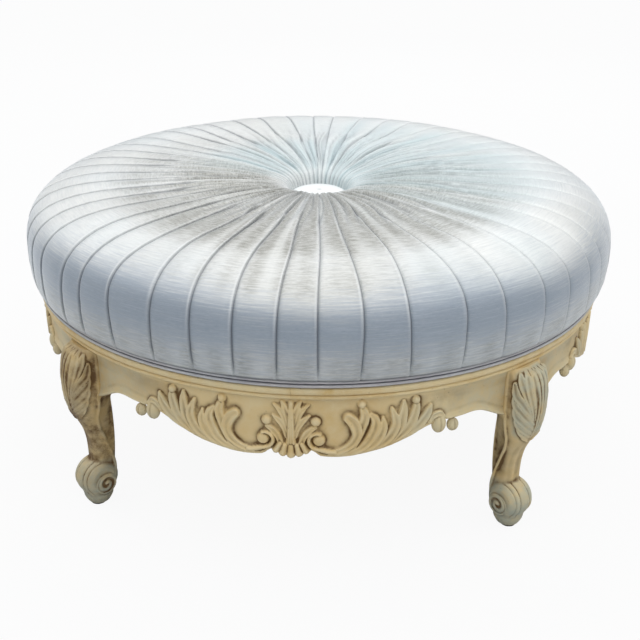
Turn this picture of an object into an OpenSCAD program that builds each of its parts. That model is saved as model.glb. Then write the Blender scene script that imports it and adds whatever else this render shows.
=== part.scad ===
// Round ottoman: a pleated, buttoned cushion on a carved frame with four cabriole legs.
// Millimetres, +Z up. The origin is on the floor under the centre, and one apron faces -Y.

/* [Frame] */
// Diameter over the moulded edge of the seat ring
frame_d = 970; // [900:5:1040]
// Height of the top of the frame above the floor
frame_h = 308; // [280:1:340]

/* [Seat ring] */
// Thickness of the seat ring
ring_t = 20.5; // [18:0.5:26]
// Width of the seat ring, from its inner edge to its moulded edge
ring_w = 80; // [72:1:95]
// Diameter of the large bead along the top of the moulded edge
bead_d = 13.4; // [10:0.2:15]

/* [Aprons] */
// Thickness of the curved apron boards
apron_t = 22; // [18:1:28]
// How far the seat ring stands out over the face of the aprons
apron_inset = 10; // [6:0.5:14]
// Height of an apron at its middle
belly_h = 96; // [80:1:110]
// Height of an apron over the top of its side arches
arch_h = 53; // [44:1:62]
// Height of an apron where it meets a leg
corner_h = 77.5; // [66:0.5:84]
// Angle from the middle of an apron to the end of its level belly
belly_angle = 8; // [6:0.5:10]
// Angle from the middle of an apron to the top of its side arch
arch_angle = 33; // [31:0.5:35]

/* [Carving] */
// Height of the boldest relief above the face of the apron
relief = 9; // [6:0.5:12]
// Half width of one leaf lobe at its widest
lobe_w = 6; // [4:0.5:7]
// Radius of the scrolls beside the central palmette
volute_r = 14; // [11:0.5:16]
// Radius of the larger berry of each pair
berry_r = 11; // [8:0.5:12]

/* [Legs] */
// Width of the square block at the top of a leg
post_w = 75; // [68:1:84]
// Depth of that block, measured in from the face of the aprons
post_d = 45; // [38:1:52]
// How far the knee swells out past the face of the aprons
knee_out = 35; // [24:1:42]
// Width of the knee
knee_w = 68; // [60:1:74]
// How far the front of the ankle stands out past the face of the aprons
ankle_out = 2; // [-6:0.5:8]
// Depth of the ankle, front to back
ankle_d = 39; // [32:1:46]
// Width of the ankle
ankle_w = 38; // [30:1:46]
// Height of the ribs of the knee leaf
leaf_rib = 4; // [2:0.5:6]

/* [Feet] */
// Diameter of the scroll that ends a leg
scroll_d = 65; // [56:1:72]
// Width of the scroll, from one side face to the other
scroll_w = 54; // [46:1:62]
// How far the centre of the scroll lies behind the face of the aprons
scroll_back = 4; // [0:0.5:10]
// Diameter of the pad carved under the scroll
pad_d = 40; // [32:1:48]
// Height of the pad, up to the underside of the scroll
pad_h = 15; // [10:0.5:20]
// Diameter of the nail-on glide under the pad
glide_d = 24; // [18:1:28]
// Thickness of the glide
glide_t = 3; // [2:0.5:5]

/* [Blocks and battens] */
// Half angle that a corner block covers
block_angle = 10; // [9:0.5:12]
// Height of the corner blocks
block_h = 40; // [34:1:48]
// Radial width of the corner blocks
block_w = 43; // [34:1:44]
// Side of the small glue blocks behind the aprons
glue_block = 25; // [18:1:28]
// Distance of each batten from the middle of the frame
batten_y = 110; // [80:1:130]
// Width of the battens
batten_w = 45; // [35:1:55]
// Depth of the battens
batten_h = 44.5; // [36:0.5:56]

/* [Cushion] */
// How far the widest line of the cushion stands out over the moulded edge of the frame
cushion_out = 15; // [8:1:30]
// Height of the cushion's crest above the frame
cushion_h = 163.5; // [140:0.5:180]
// Height of the cushion's widest line above the frame
waist_h = 65.5; // [56:0.5:76]
// Radius of the crest, where the top turns down into the hollow
crest_r = 320; // [280:5:350]
// Fullness of the shoulder, from 2 for round to 4 for square
shoulder = 2.9; // [2.4:0.1:3.4]
// Depth of the hollow at the button
hollow_h = 41; // [25:1:55]
// Number of pleats round the cushion
pleats = 48; // [36:4:48]
// Depth of the fold between two pleats
pleat_h = 4; // [2:0.5:5]
// Thickness of the pleated cover at the bottom of its folds
cover_t = 2; // [1.5:0.5:3]
// Thickness of the wadding under the cover
wadding_t = 12; // [6:1:18]
// Thickness of the seat board
board_t = 18; // [15:1:22]
// Diameter of each cord of the double welt
welt_d = 6; // [5:0.2:7]

/* [Button] */
// Diameter of the covered button
button_d = 96; // [70:1:110]
// Height of the button's crown
button_h = 15; // [10:0.5:20]
// Diameter of the twine that pulls the button down
twine_d = 3; // [2:0.5:4]
// Diameter of the toggle under the seat board
toggle_d = 12; // [10:0.5:16]
// Length of the toggle
toggle_l = 60; // [40:1:80]

/* [Fixings] */
// Diameter of the dowels between aprons and legs
dowel_d = 8; // [6:0.5:10]
// Length of those dowels
dowel_l = 38; // [30:1:40]
// Diameter of the screw shanks
screw_d = 4.5; // [4:0.5:5]
// Length of the screws from a corner block into its leg
corner_screw_l = 48; // [40:1:54]
// Depth that the seat screws reach into the seat board
seat_screw_bite = 12; // [8:1:14]
// Length of the screws from a batten into the seat ring
batten_screw_l = 38; // [32:1:42]
// Thickness of the cloth that closes the underside
dust_cloth_t = 1; // [0.6:0.2:1.6]

/* [Hidden] */
$fn = 96;

// Gaps: between curved or soft faces, and round a dowel or a screw
gap = 0.3;
fit = 0.2;

// Directions of the parts, as angles from +X
FRONT_LEFT = -135;
FRONT_RIGHT = -45;
REAR_RIGHT = 45;
REAR_LEFT = 135;
FRONT = -90;
RIGHT = 0;
REAR = 90;
LEFT = 180;
LEG_DIRECTIONS = [FRONT_LEFT, FRONT_RIGHT, REAR_RIGHT, REAR_LEFT];
APRON_DIRECTIONS = [FRONT, RIGHT, REAR, LEFT];

WOOD = "#cdbb93";
GILT = "#d8c9a0";
WASH = "#a9a88f";
PLAIN_WOOD = "#c9a673";
STEEL = "#8f9296";
VELVET = "#c3c8cc";
FOAM = "#e8dfb4";
FLEECE = "#f2f2ee";
BLACK = "#303030";

// Frame
frame_r = frame_d / 2;
ring_z = frame_h - ring_t;
ring_in = frame_r - ring_w;
face_r = frame_r - apron_inset;
back_r = face_r - apron_t;
small_bead_d = ring_t - bead_d;

// Carving: its widths are drawn for an apron face of this radius, and grow with the real one
carving_face_r = 475;
carving_scale = face_r / carving_face_r;

// Legs: outline of the front against height, as [share of the height, swell, width].
// The swell is 0 at the ankle and 1 at the knee, and so is the width.
post_angle = asin(post_w / 2 / face_r);
knee_r = face_r + knee_out;
ankle_r = face_r + ankle_out;
heel_r = ankle_r - ankle_d;
LEG_LINE = [
    [0.17, 0.1, 0.2], [0.25, 0, 0.06], [0.33, 0, 0], [0.41, 0.04, 0.03], [0.487, 0.2, 0.15], [0.56, 0.52, 0.4],
    [0.64, 0.82, 0.68], [0.715, 0.95, 0.9], [0.82, 1, 1], [0.91, 0.9, 1], [0.97, 0.7, 0.97], [1, 0.3, 0.9],
];
leg_points = 16;
leg_square = 2.7;
ear_slope = 0.62;
edge_bead = 1.8;
leg_lobe_w = [0.3, 0.8, 1, 0.8, 0.3];
leg_lobe_h = [0.3, 0.8, 0.9, 1, 0.7];

// Feet
scroll_x = face_r - scroll_back;
scroll_z = glide_t + pad_h + scroll_d / 2;
scroll_end = 0.52;
spiral_turns = 1.25;
spiral_w = 4;
spiral_proud = 2.5;
shank_d = 3;
shank_l = 16;

// Dowels at the ends of the aprons
joint_angle = 45 - post_angle;
dowel_r = (face_r + back_r) / 2;
dowel_z = [ring_z - 20, ring_z - corner_h + 22];

// Blocks and battens
block_in = back_r - block_w;
block_z = ring_z - block_h;
pocket_x = face_r - post_d - gap;
seat_screw_angle = (post_angle + block_angle) / 2 + 0.4;
seat_screw_r = (block_in + back_r) / 2;
seat_screw_l = block_h + ring_t + seat_screw_bite;
corner_screw_z = [block_z + block_h * 0.28, block_z + block_h * 0.72];
corner_screw_x = block_in;
glue_angle = 22;
batten_z = frame_h - batten_h;
batten_end = back_r - 13;
batten_screw_x = sqrt(pow(ring_in + 17, 2) - pow(batten_y, 2));
head_d = screw_d * 2;
head_h = screw_d * 0.7;

// Cushion
cushion_r = frame_r + cushion_out;
waist_z = frame_h + waist_h;
crest_z = frame_h + cushion_h;
hem_z = frame_h + 0.5;
board_z = frame_h + board_t;
board_r = frame_r - 8;
welt_r = frame_r - 1;
welt_z = [frame_h + gap + welt_d / 2, frame_h + 2 * gap + welt_d * 3 / 2];
roll_z = frame_h + 3 * gap + 2 * welt_d;
roll_r = frame_r + 3;
hem_r = welt_r - welt_d / 2 - gap;
lining = pleat_h + cover_t;
well_z = crest_z - hollow_h - 6;
well_r = button_d / 2 + 2;
hollow_power = 5;

// Button
button_z = well_z + gap;
shell_t = 2;
back_t = 4;
knot_d = 7;
toggle_z = frame_h - gap - toggle_d / 2;

// Point b of a curve that passes smoothly from b to c, coming from a and going on to d
function curve_point(a, b, c, d, t) =
    (2 * b + (c - a) * t + (2 * a - 5 * b + 4 * c - d) * t * t + (3 * b - a - 3 * c + d) * t * t * t) / 2;

// Smooth curve through the points p, with n steps between two of them
function smooth(p, n) = concat(
    [
        for (i = [0 : len(p) - 2], k = [0 : n - 1])
            curve_point(p[max(i - 1, 0)], p[i], p[i + 1], p[min(i + 2, len(p) - 1)], k / n)
    ],
    [p[len(p) - 1]]
);

// Bowed line from a to b, whose middle is pushed aside by bow along the first coordinate
function bowed(a, b, bow, n) = [for (k = [0 : n]) a + (b - a) * k / n + [4 * bow * (k / n) * (1 - k / n), 0]];

// Faces of a closed tube of rings, with m points in each ring
function tube_faces(rings, m) = concat(
    [[for (j = [0 : m - 1]) j]],
    [
        for (i = [0 : rings - 2], j = [0 : m - 1])
            let (a = i * m + j, b = i * m + (j + 1) % m)
                each [[a, a + m, b], [b, a + m, b + m]]
    ],
    [[for (j = [m - 1 : -1 : 0]) (rings - 1) * m + j]]
);

function super(v, power) = sign(v) * pow(abs(v), power);

// Frame parts

// Half ring of points that bulges outwards, for a bead on a moulded edge
function bead(r, z, d) = [for (a = [-90 : 15 : 90]) [r + d / 2 * cos(a), z + d / 2 * sin(a)]];

module seat_ring(angle) {
    core_r = frame_r - bead_d / 2;
    color(GILT)
        rotate([0, 0, angle - 45])
            rotate_extrude(angle = 90)
                polygon(concat(
                    [[ring_in, ring_z]],
                    bead(core_r, ring_z + small_bead_d / 2, small_bead_d),
                    bead(core_r, frame_h - bead_d / 2, bead_d),
                    [[ring_in, frame_h]]
                ));
}

// Height of an apron at an angle from its middle
function apron_height(a) =
    a <= belly_angle ? belly_h
    : a <= arch_angle ? belly_h + (arch_h - belly_h) * (1 - cos(180 * (a - belly_angle) / (arch_angle - belly_angle))) / 2
    : arch_h + (corner_h - arch_h) * (1 - cos(90 * (a - arch_angle) / (joint_angle - arch_angle)));

// One apron, at the front; its lower edge is sawn square to the front, in a line that runs on past the joints
module apron(angle) {
    step = (joint_angle + 1) / 20;
    color(WOOD)
        rotate([0, 0, angle - FRONT])
            difference() {
                intersection() {
                    rotate([0, 0, FRONT - joint_angle])
                        rotate_extrude(angle = 2 * joint_angle)
                            translate([back_r, ring_z - belly_h - 1])
                                square([apron_t, belly_h + 1]);
                    rotate([90, 0, 0])
                        linear_extrude(frame_r)
                            polygon(concat(
                                [
                                    for (k = [-20 : 20])
                                        [face_r * sin(k * step), ring_z - apron_height(abs(k * step))]
                                ],
                                [[face_r, ring_z - corner_h], [face_r, ring_z + 1]],
                                [[-face_r, ring_z + 1], [-face_r, ring_z - corner_h]]
                            ));
                }
                for (side = [-1, 1])
                    rotate([0, 0, FRONT + side * joint_angle])
                        dowel_pair(dowel_d / 2 + fit, dowel_l / 2 + 1);
            }
}

// Two dowels, or their holes, square to the joint face through the local X axis
module dowel_pair(r, half) {
    for (z = dowel_z)
        translate([dowel_r, 0, z])
            rotate([90, 0, 0])
                cylinder(r = r, h = 2 * half, center = true);
}

module frame_dowels() {
    color(PLAIN_WOOD)
        for (a = LEG_DIRECTIONS, side = [-1, 1])
            rotate([0, 0, a + side * post_angle])
                dowel_pair(dowel_d / 2, dowel_l / 2);
}

// Apron carving: every piece is set out on the face of the apron as [angle, share of the belly's height],
// measured from the middle and from the top, and is carried by the left and the right half alike

function on_apron(a, z, out) = [
    (face_r + gap + out) * sin(a),
    -(face_r + gap + out) * cos(a),
    z,
];

// Section of a carved rib, as [share of its half width, share of its height]
RIB_SECTION = [[-1, 0], [-0.5, 1], [0.5, 1], [1, 0]];

// Rounded rib along a path of [angle, share], with half width and height given at each point;
// its back lies at the given distance from the rim's
module rib(path, w, h, back = 0.5) {
    n = len(path);
    mm = [for (p = path) [p[0] * face_r * PI / 180, ring_z - p[1] * belly_h]];
    points = [
        for (i = [0 : n - 1])
            let (
                run = mm[min(i + 1, n - 1)] - mm[max(i - 1, 0)],
                side = [run[1], -run[0]] / norm(run)
            )
                for (s = RIB_SECTION)
                    let (p = mm[i] + side * s[0] * w[i] * carving_scale)
                        on_apron(p[0] * 180 / PI / face_r, p[1], back + s[1] * h[i])
    ];
    polyhedron(points, tube_faces(n, len(RIB_SECTION)), convexity = 4);
}

// Low dome on the face of the apron, as [angle, share, radius, share of the relief]
module boss(knob) {
    r = knob[2] * carving_scale;
    h = relief * knob[3];
    translate(on_apron(knob[0], ring_z - knob[1] * belly_h, boss_back))
        rotate([90, 0, knob[0]])
            cylinder(r1 = r, r2 = r * boss_top, h = h, $fn = 8);
}

// Leaf lobes from the inside out, as [tip, root, bow]
LOBES = [
    [[11.9, 0.13], [10.6, 0.8], 0.9],
    [[13.4, 0.28], [11.3, 0.88], 1.7],
    [[15.4, 0.36], [12.8, 0.88], 1.6],
    [[17.1, 0.2], [15, 0.86], 1.7],
    [[19.3, 0.13], [17.1, 0.78], 0.8],
    [[21.6, 0.15], [18.8, 0.72], 0.8],
    [[24.2, 0.26], [20.3, 0.69], 0.2],
];
STEM = [[9, 0.36], [9.9, 0.31], [11, 0.4], [11.3, 0.6], [10.3, 0.78], [8.4, 0.9], [5.8, 0.94]];
PALMETTE = [
    [[0.4, 0.6], [3.1, 0.3], 0.3],
    [[0.3, 0.5], [2.9, 0.12], -0.2],
    [[0.2, 0.4], [1.6, 0.06], -0.2],
];
INNER_LEAF = [[3.9, 0.45], [2, 0.62], [0.5, 0.82]];
CENTRE_STEM = [[0, 0.95], [0, 0.5], [0, 0.05]];
lobe_shape_w = [0.6, 1, 0.85, 0.4];
lobe_shape_h = [0.9, 0.7, 0.5, 0.3];
boss_back = 0.25;
boss_top = 0.5;

// The scroll beside the palmette: its middle, the foot of its band, and the turn between two points
VOLUTE = [4.4, 0.69];
VOLUTE_FOOT = [5.2, 0.93];
volute_start = 250;
volute_turn = 48;
volute_points = 7;
volute_band = 3.2;
// Knobs: the eye of the scroll, the bead over it, and the pair of berries
KNOBS = [
    [VOLUTE[0], VOLUTE[1], volute_r * 0.5, 0.8],
    [4.2, 0.4, volute_r * 0.5, 0.8],
    [26.3, 0.62, berry_r, 1],
    [28.6, 0.66, berry_r * 0.9, 1],
];
// The shell under the palmette: the angle between its knobs, and the largest of them
shell_step = 1.3;
shell_r = 7;
shell_share = 0.955;
// The rim under the leaves and the bead along the arch: where they end or begin, half width and height
rim_end = 26;
rim_w = 5.5;
rim_h = 2.5;
arch_start = 28.4;
arch_w = 3.2;
arch_bead_h = 3;

// Path along the lower edge of the apron, from one angle to another, at a height above it
function edge_path(from, to, up, n) = [
    for (k = [0 : n])
        let (a = from + (to - from) * k / n)
            [a, (apron_height(a) - up) / belly_h]
];

function same(value, n) = [for (k = [0 : n]) value];

module half_carving() {
    volute_deg = volute_r * 180 / PI / face_r;
    volute_span = volute_r / belly_h;
    for (l = LOBES)
        rib(bowed(l[0], l[1], l[2], 3), lobe_w * lobe_shape_w, relief * lobe_shape_h);
    rib(STEM, lobe_w * [0.5, 0.7, 0.8, 0.8, 0.8, 0.8, 0.6], relief * [0.9, 0.9, 0.8, 0.6, 0.6, 0.5, 0.4]);
    for (l = PALMETTE)
        rib(bowed(l[0], l[1], l[2], 3), lobe_w * [0.35, 0.5, 0.55, 0.4], relief * [0.4, 0.5, 0.6, 0.7]);
    // The scroll winds in from the foot of the stem, over the top, round its eye
    rib(
        concat(
            [VOLUTE_FOOT],
            [
                for (k = [0 : volute_points])
                    let (turn = volute_start - volute_turn * k, r = 1 - 0.06 * k)
                        VOLUTE + r * [volute_deg * cos(turn), -volute_span * sin(turn)]
            ]
        ),
        [for (k = [0 : volute_points + 1]) volute_band - 0.12 * k],
        [for (k = [0 : volute_points + 1]) relief * (0.5 + 0.03 * k)]
    );
    for (knob = KNOBS)
        boss(knob);
    rib(INNER_LEAF, [2, 3, 3], relief * [0.5, 0.6, 0.4]);
    rib(edge_path(0, rim_end, 6, 5), same(rim_w, 5), same(rim_h, 5), 0);
    rib(edge_path(arch_start, joint_angle - 0.2, 4, 4), same(arch_w, 4), same(arch_bead_h, 4));
}

module carving(angle) {
    color(GILT)
        rotate([0, 0, angle - FRONT])
            union() {
                half_carving();
                mirror([1, 0, 0])
                    half_carving();
                rib(CENTRE_STEM, lobe_w * [0.8, 0.6, 0.3], relief * [0.6, 0.6, 0.5]);
                for (k = [-2 : 2])
                    boss([k * shell_step, shell_share - 0.02 * abs(k), shell_r - abs(k), 0.75]);
            }
}

// Legs, drawn along +X and turned into place

module at_legs() {
    for (a = LEG_DIRECTIONS)
        rotate([0, 0, a])
            children();
}

// Middle, half depth and half width of the leg at a station of its line
function leg_size(s) =
    let (front = ankle_r + (knee_r - ankle_r) * s[1])
        [(front + heel_r) / 2, (front - heel_r) / 2, (ankle_w + (knee_w - ankle_w) * s[2]) / 2];

function leg_ring(s) =
    let (size = leg_size(s))
        [
            for (j = [0 : leg_points - 1])
                let (
                    a = 360 * j / leg_points,
                    proud = abs(cos(a)) < 0.01 ? edge_bead : 0
                )
                    [
                        size[0] + size[1] * super(cos(a), 2 / leg_square),
                        (size[2] + proud) * super(sin(a), 2 / leg_square),
                        s[0] * ring_z,
                    ]
        ];

module leg_shaft() {
    line = smooth(LEG_LINE, 2);
    polyhedron(
        [for (s = line) each leg_ring(s)],
        tube_faces(len(line), leg_points),
        convexity = 4
    );
}

// The square block, with the ears that carry the line of the apron into the leg
module leg_post() {
    low = ring_z - corner_h;
    half = post_w / 2;
    intersection() {
        linear_extrude(ring_z)
            polygon(concat(
                [for (k = [-3 : 3]) face_r * [cos(k * post_angle / 3), sin(k * post_angle / 3)]],
                [for (s = [1, -1]) (face_r - post_d) * [1, s * tan(post_angle)]]
            ));
        rotate([90, 0, 90])
            linear_extrude(frame_r)
                polygon([
                    [half + 1, ring_z], [half + 1, low], [half, low], [0, low - half * ear_slope],
                    [-half, low], [-half - 1, low], [-half - 1, ring_z],
                ]);
    }
}

// Point on the front of the leg, y from its middle, at a share of its height, and that far out from it
function on_leg(y, share, out) =
    let (
        line = smooth(LEG_LINE, 2),
        i = max([for (k = [0 : len(line) - 2]) line[k][0] <= share ? k : 0]),
        t = (share - line[i][0]) / (line[i + 1][0] - line[i][0]),
        size = leg_size(line[i] + (line[i + 1] - line[i]) * t),
        x = size[1] * pow(1 - pow(min(abs(y) / size[2], 1), leg_square), 1 / leg_square)
    )
        [size[0], 0, share * ring_z] + [x, y, 0] * (1 + out / norm([x, y]));

// Lobe on the front of the leg, up from its root to its tip, of half width wide and height high
module leg_lobe(root, tip, wide, high) {
    n = len(leg_lobe_w);
    points = [
        for (i = [0 : n - 1])
            let (p = root + (tip - root) * i / (n - 1))
                for (s = RIB_SECTION)
                    on_leg(p[0] + s[0] * wide * leg_lobe_w[i], p[1], s[1] * (high * leg_lobe_h[i] + 2) - 2)
    ];
    polyhedron(points, tube_faces(n, len(RIB_SECTION)), convexity = 4);
}

// The leaf fans out from a stem on the shin to tips at the top and the sides of the knee,
// over a flat band that runs down to the foot
module knee_leaf() {
    half = knee_w / 2;
    leg_lobe([0, 0.24], [0, 0.57], 8, leaf_rib * 0.3);
    leg_lobe([0, 0.565], [0, 0.97], 7, leaf_rib);
    for (side = [-1, 1]) {
        leg_lobe([side * 2, 0.72], [side * half * 0.42, 0.96], 6, leaf_rib * 0.9);
        leg_lobe([side * 3, 0.67], [side * half * 0.78, 0.9], 6, leaf_rib * 0.9);
        leg_lobe([side * 3, 0.62], [side * half * 0.86, 0.81], 5, leaf_rib * 0.9);
        leg_lobe([side * 2, 0.58], [side * half * 0.66, 0.7], 4, leaf_rib * 0.8);
    }
}

// The scroll is a barrel across the foot, with a spiral on each side face and a pad below
module foot() {
    half = scroll_w / 2;
    translate([scroll_x, 0, scroll_z])
        rotate([90, 0, 0]) {
            rotate_extrude($fn = 48)
                polygon(concat(
                    [[0, -half]],
                    [
                        for (k = [-3 : 3])
                            [scroll_d / 2 * (1 - (1 - scroll_end) * pow(abs(k) / 3, 2.5)), half * k / 3]
                    ],
                    [[0, half]]
                ));
            for (side = [0, 1])
                mirror([0, 0, side])
                    translate([0, 0, half - 1])
                        scroll_spiral();
        }
    translate([scroll_x, 0, glide_t])
        rotate_extrude($fn = 48)
            polygon([[0, 0], [pad_d / 2 - 2, 0], [pad_d / 2, 4], [pad_d / 2 - 4, pad_h + 4], [0, pad_h + 6]]);
}

// Raised spiral on the side face of the scroll, round an eye
module scroll_spiral() {
    steps = 12;
    big = scroll_d / 2 * scroll_end - 1;
    function arm(k, inset) =
        let (a = 90 + 360 * spiral_turns * k / steps, r = big - (big - 5) * k / steps - inset)
            r * [cos(a), sin(a)];
    linear_extrude(spiral_proud + 1)
        polygon(concat(
            [for (k = [0 : steps]) arm(k, 0)],
            [for (k = [steps : -1 : 0]) arm(k, spiral_w * (1 - 0.4 * k / steps))]
        ));
}

module leg(angle) {
    color(WASH)
        rotate([0, 0, angle])
            difference() {
                union() {
                    leg_shaft();
                    leg_post();
                    knee_leaf();
                    foot();
                }
                for (side = [-1, 1])
                    rotate([0, 0, side * post_angle])
                        dowel_pair(dowel_d / 2 + fit, dowel_l / 2 + 1, $fn = 32);
                for (z = corner_screw_z)
                    translate([corner_screw_x, 0, z])
                        rotate([0, 90, 0])
                            cylinder(d = screw_d + 2 * fit, h = corner_screw_l + 2, $fn = 32);
                translate([scroll_x, 0, glide_t - 1])
                    cylinder(d = shank_d + 2 * fit, h = shank_l + 2, $fn = 32);
            }
}

module foot_glides() {
    color(BLACK)
        at_legs()
            translate([scroll_x, 0, 0]) {
                cylinder(d = glide_d, h = glide_t);
                cylinder(d = shank_d, h = glide_t + shank_l);
            }
}

// Blocks, battens and their screws

// Countersunk screw along +Z, with its head at the origin
module screw(l) {
    rotate_extrude()
        polygon([
            [0, 0], [head_d / 2, 0], [head_d / 2, 0.5], [screw_d / 2, head_h], [screw_d / 2, l - screw_d],
            [0, l],
        ]);
}

// The space that a screw needs, with room round it
module screw_hole(l) {
    rotate_extrude()
        polygon([
            [0, -1], [head_d / 2 + fit, -1], [head_d / 2 + fit, 0.5 + fit], [screw_d / 2 + fit, head_h + fit],
            [screw_d / 2 + fit, l + 1], [0, l + 1],
        ]);
}

module at_seat_screws() {
    for (side = [-1, 1])
        rotate([0, 0, side * seat_screw_angle])
            translate([seat_screw_r, 0, block_z])
                children();
}

module at_corner_screws() {
    for (z = corner_screw_z)
        translate([corner_screw_x, 0, z])
            rotate([0, 90, 0])
                children();
}

module corner_block(angle) {
    color(PLAIN_WOOD)
        rotate([0, 0, angle])
            difference() {
                intersection() {
                    rotate([0, 0, -block_angle])
                        rotate_extrude(angle = 2 * block_angle)
                            translate([ring_in, block_z])
                                square([back_r - gap - ring_in, block_h]);
                    translate([block_in, -frame_r, block_z])
                        cube([frame_r, 2 * frame_r, block_h]);
                }
                translate([pocket_x, -post_w / 2 - gap, block_z - 1])
                    cube([frame_r, post_w + 2 * gap, block_h + 2]);
                at_seat_screws()
                    screw_hole(seat_screw_l);
                at_corner_screws()
                    screw_hole(corner_screw_l);
            }
}

module corner_screws() {
    color(STEEL)
        at_legs()
            at_corner_screws()
                screw(corner_screw_l);
}

module seat_screws() {
    color(STEEL)
        at_legs()
            at_seat_screws()
                screw(seat_screw_l);
}

module glue_blocks() {
    color(PLAIN_WOOD)
        for (a = APRON_DIRECTIONS, side = [-1, 1])
            rotate([0, 0, a + side * glue_angle])
                intersection() {
                    translate([back_r - glue_block - gap - 3, -glue_block * 0.8, ring_z - glue_block])
                        cube([glue_block + 10, glue_block * 1.6, glue_block]);
                    cylinder(r = back_r - gap, h = frame_h);
                }
}

module at_batten_screws() {
    for (side = [-1, 1])
        translate([side * batten_screw_x, batten_y, batten_z])
            children();
}

// One batten, at the rear; its ends are lapped under the seat ring
module batten() {
    difference() {
        intersection() {
            translate([-frame_r, batten_y - batten_w / 2, batten_z])
                cube([frame_d, batten_w, batten_h]);
            union() {
                cylinder(r = ring_in - gap, h = frame_h);
                cylinder(r = batten_end, h = ring_z);
            }
        }
        at_batten_screws()
            screw_hole(batten_screw_l);
    }
}

module batten_front() {
    color(PLAIN_WOOD)
        rotate([0, 0, 180])
            batten();
}

module batten_rear() {
    color(PLAIN_WOOD)
        batten();
}

module batten_screws() {
    color(STEEL)
        for (a = [0, 180])
            rotate([0, 0, a])
                at_batten_screws()
                    screw(batten_screw_l);
}

// The ring again, with the holes that the screws from below pass through
module drilled_seat_ring(angle) {
    difference() {
        seat_ring(angle);
        color(GILT) {
            rotate([0, 0, angle])
                at_seat_screws()
                    screw_hole(seat_screw_l);
            for (a = [0, 180])
                rotate([0, 0, a])
                    at_batten_screws()
                        screw_hole(batten_screw_l);
        }
    }
}

// Underside cloth, stapled to the corner blocks
module dust_cloth() {
    color(BLACK)
        translate([0, 0, block_z - dust_cloth_t - gap])
            cylinder(r = face_r - post_d - 2, h = dust_cloth_t);
}

// Cushion

module seat_board() {
    color(PLAIN_WOOD)
        difference() {
            translate([0, 0, frame_h])
                cylinder(r = board_r, h = board_t);
            translate([0, 0, frame_h - 1])
                cylinder(d = twine_d + 9, h = board_t + 2);
            at_legs()
                at_seat_screws()
                    screw_hole(seat_screw_l);
        }
}

// Points of the cushion's outline, drawn in by inset. Each is [radius, height].
function side_point(a, inset) = [
    roll_r + (cushion_r - roll_r) * cos(a) - inset,
    waist_z + (waist_z - roll_z) * sin(a),
];

function shoulder_point(a, inset) = [
    crest_r + (cushion_r - inset - crest_r) * pow(cos(a), 2 / shoulder),
    waist_z + (crest_z - inset - waist_z) * pow(sin(a), 2 / shoulder),
];

function hollow_point(share, inset) = [
    well_r + (crest_r - well_r) * share,
    crest_z - inset - hollow_h * pow(1 - share, hollow_power),
];

// Stations of the outline, from the welt over the shoulder and the crest to the well of the button
SIDE_STATIONS = [-90, -45];
SHOULDER_STATIONS = [0, 22, 42, 60, 76];
HOLLOW_STATIONS = [1, 0.6, 0.3, 0.12, 0];

function top_line(inset) = concat(
    [for (a = SHOULDER_STATIONS) shoulder_point(a, inset)],
    [for (s = HOLLOW_STATIONS) hollow_point(s, inset)]
);

// Solid of revolution that fills the cushion down to the seat board, or past its edge to foot
module filling(inset, low, low_r, foot) {
    rotate_extrude()
        polygon(concat(
            [[0, foot], [low_r, foot]],
            foot < low ? [[low_r, low]] : [],
            [side_point(-45, inset)],
            top_line(inset),
            [[well_r - 3, well_z - inset], [0, well_z - inset]]
        ));
}

module twine_hole(d) {
    cylinder(d = d, h = crest_z);
}

module foam_core() {
    inset = lining + wadding_t + 2 * gap;
    color(FOAM)
        difference() {
            filling(inset, board_z + gap, board_r - wadding_t, board_z + gap);
            twine_hole(twine_d + 4);
        }
}

module wadding() {
    inset = lining + wadding_t + gap;
    color(FLEECE)
        difference() {
            filling(lining + gap, board_z + gap, board_r, board_z + gap);
            filling(inset, board_z, board_r - wadding_t + gap, board_z);
            twine_hole(twine_d + 4);
        }
}

// Rings of the pleated cover, from the welt to the floor of the well, each with the depth of its folds
COVER_RINGS = concat(
    [for (a = SIDE_STATIONS) [side_point(a, 0), 0.6]],
    [for (a = SHOULDER_STATIONS) [shoulder_point(a, 0), 0.9]],
    [for (s = HOLLOW_STATIONS) [hollow_point(s, 0), 1]],
    [[[well_r - 3, well_z], 0]]
);

// Point j of ring i: odd points are the crowns of the pleats, even points the folds between them
function cover_point(i, j) =
    let (
        ring = COVER_RINGS[i],
        last = len(COVER_RINGS) - 1,
        run = COVER_RINGS[min(i + 1, last)][0] - COVER_RINGS[max(i - 1, 0)][0],
        inward = [-run[1], run[0]] / norm(run),
        p = ring[0] + inward * (j % 2 == 0 ? ring[1] * pleat_h : 0) * (i == 0 ? 0 : 1),
        a = 180 * j / pleats
    )
        [p[0] * cos(a), p[0] * sin(a), p[1]];

module cover() {
    around = 2 * pleats;
    color(VELVET)
        difference() {
            union() {
                polyhedron(
                    [for (i = [0 : len(COVER_RINGS) - 1], j = [0 : around - 1]) cover_point(i, j)],
                    tube_faces(len(COVER_RINGS), around),
                    convexity = 6
                );
                translate([0, 0, hem_z])
                    cylinder(r = hem_r, h = roll_z - hem_z + 1);
            }
            filling(lining, board_z, board_r + gap, frame_h, $fn = 240);
            twine_hole(twine_d + 2);
        }
}

module welt(z) {
    color(VELVET)
        translate([0, 0, z])
            rotate_extrude()
                translate([welt_r, 0])
                    circle(d = welt_d);
}

// Dome of the button, of outer radius r and height h
module dome(r, h) {
    rotate_extrude()
        polygon(concat(
            [[0, 0]],
            [for (a = [0 : 10 : 90]) [r * pow(cos(a), 0.6), h * (0.35 + 0.65 * sin(a))] - (a == 0 ? [0, h * 0.35] : [0, 0])],
            [[0, h]]
        ));
}

module button_shell() {
    r = button_d / 2;
    color(FLEECE)
        translate([0, 0, button_z])
            difference() {
                dome(r, button_h);
                translate([0, 0, -0.01])
                    dome(r - shell_t, button_h - shell_t);
            }
}

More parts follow.
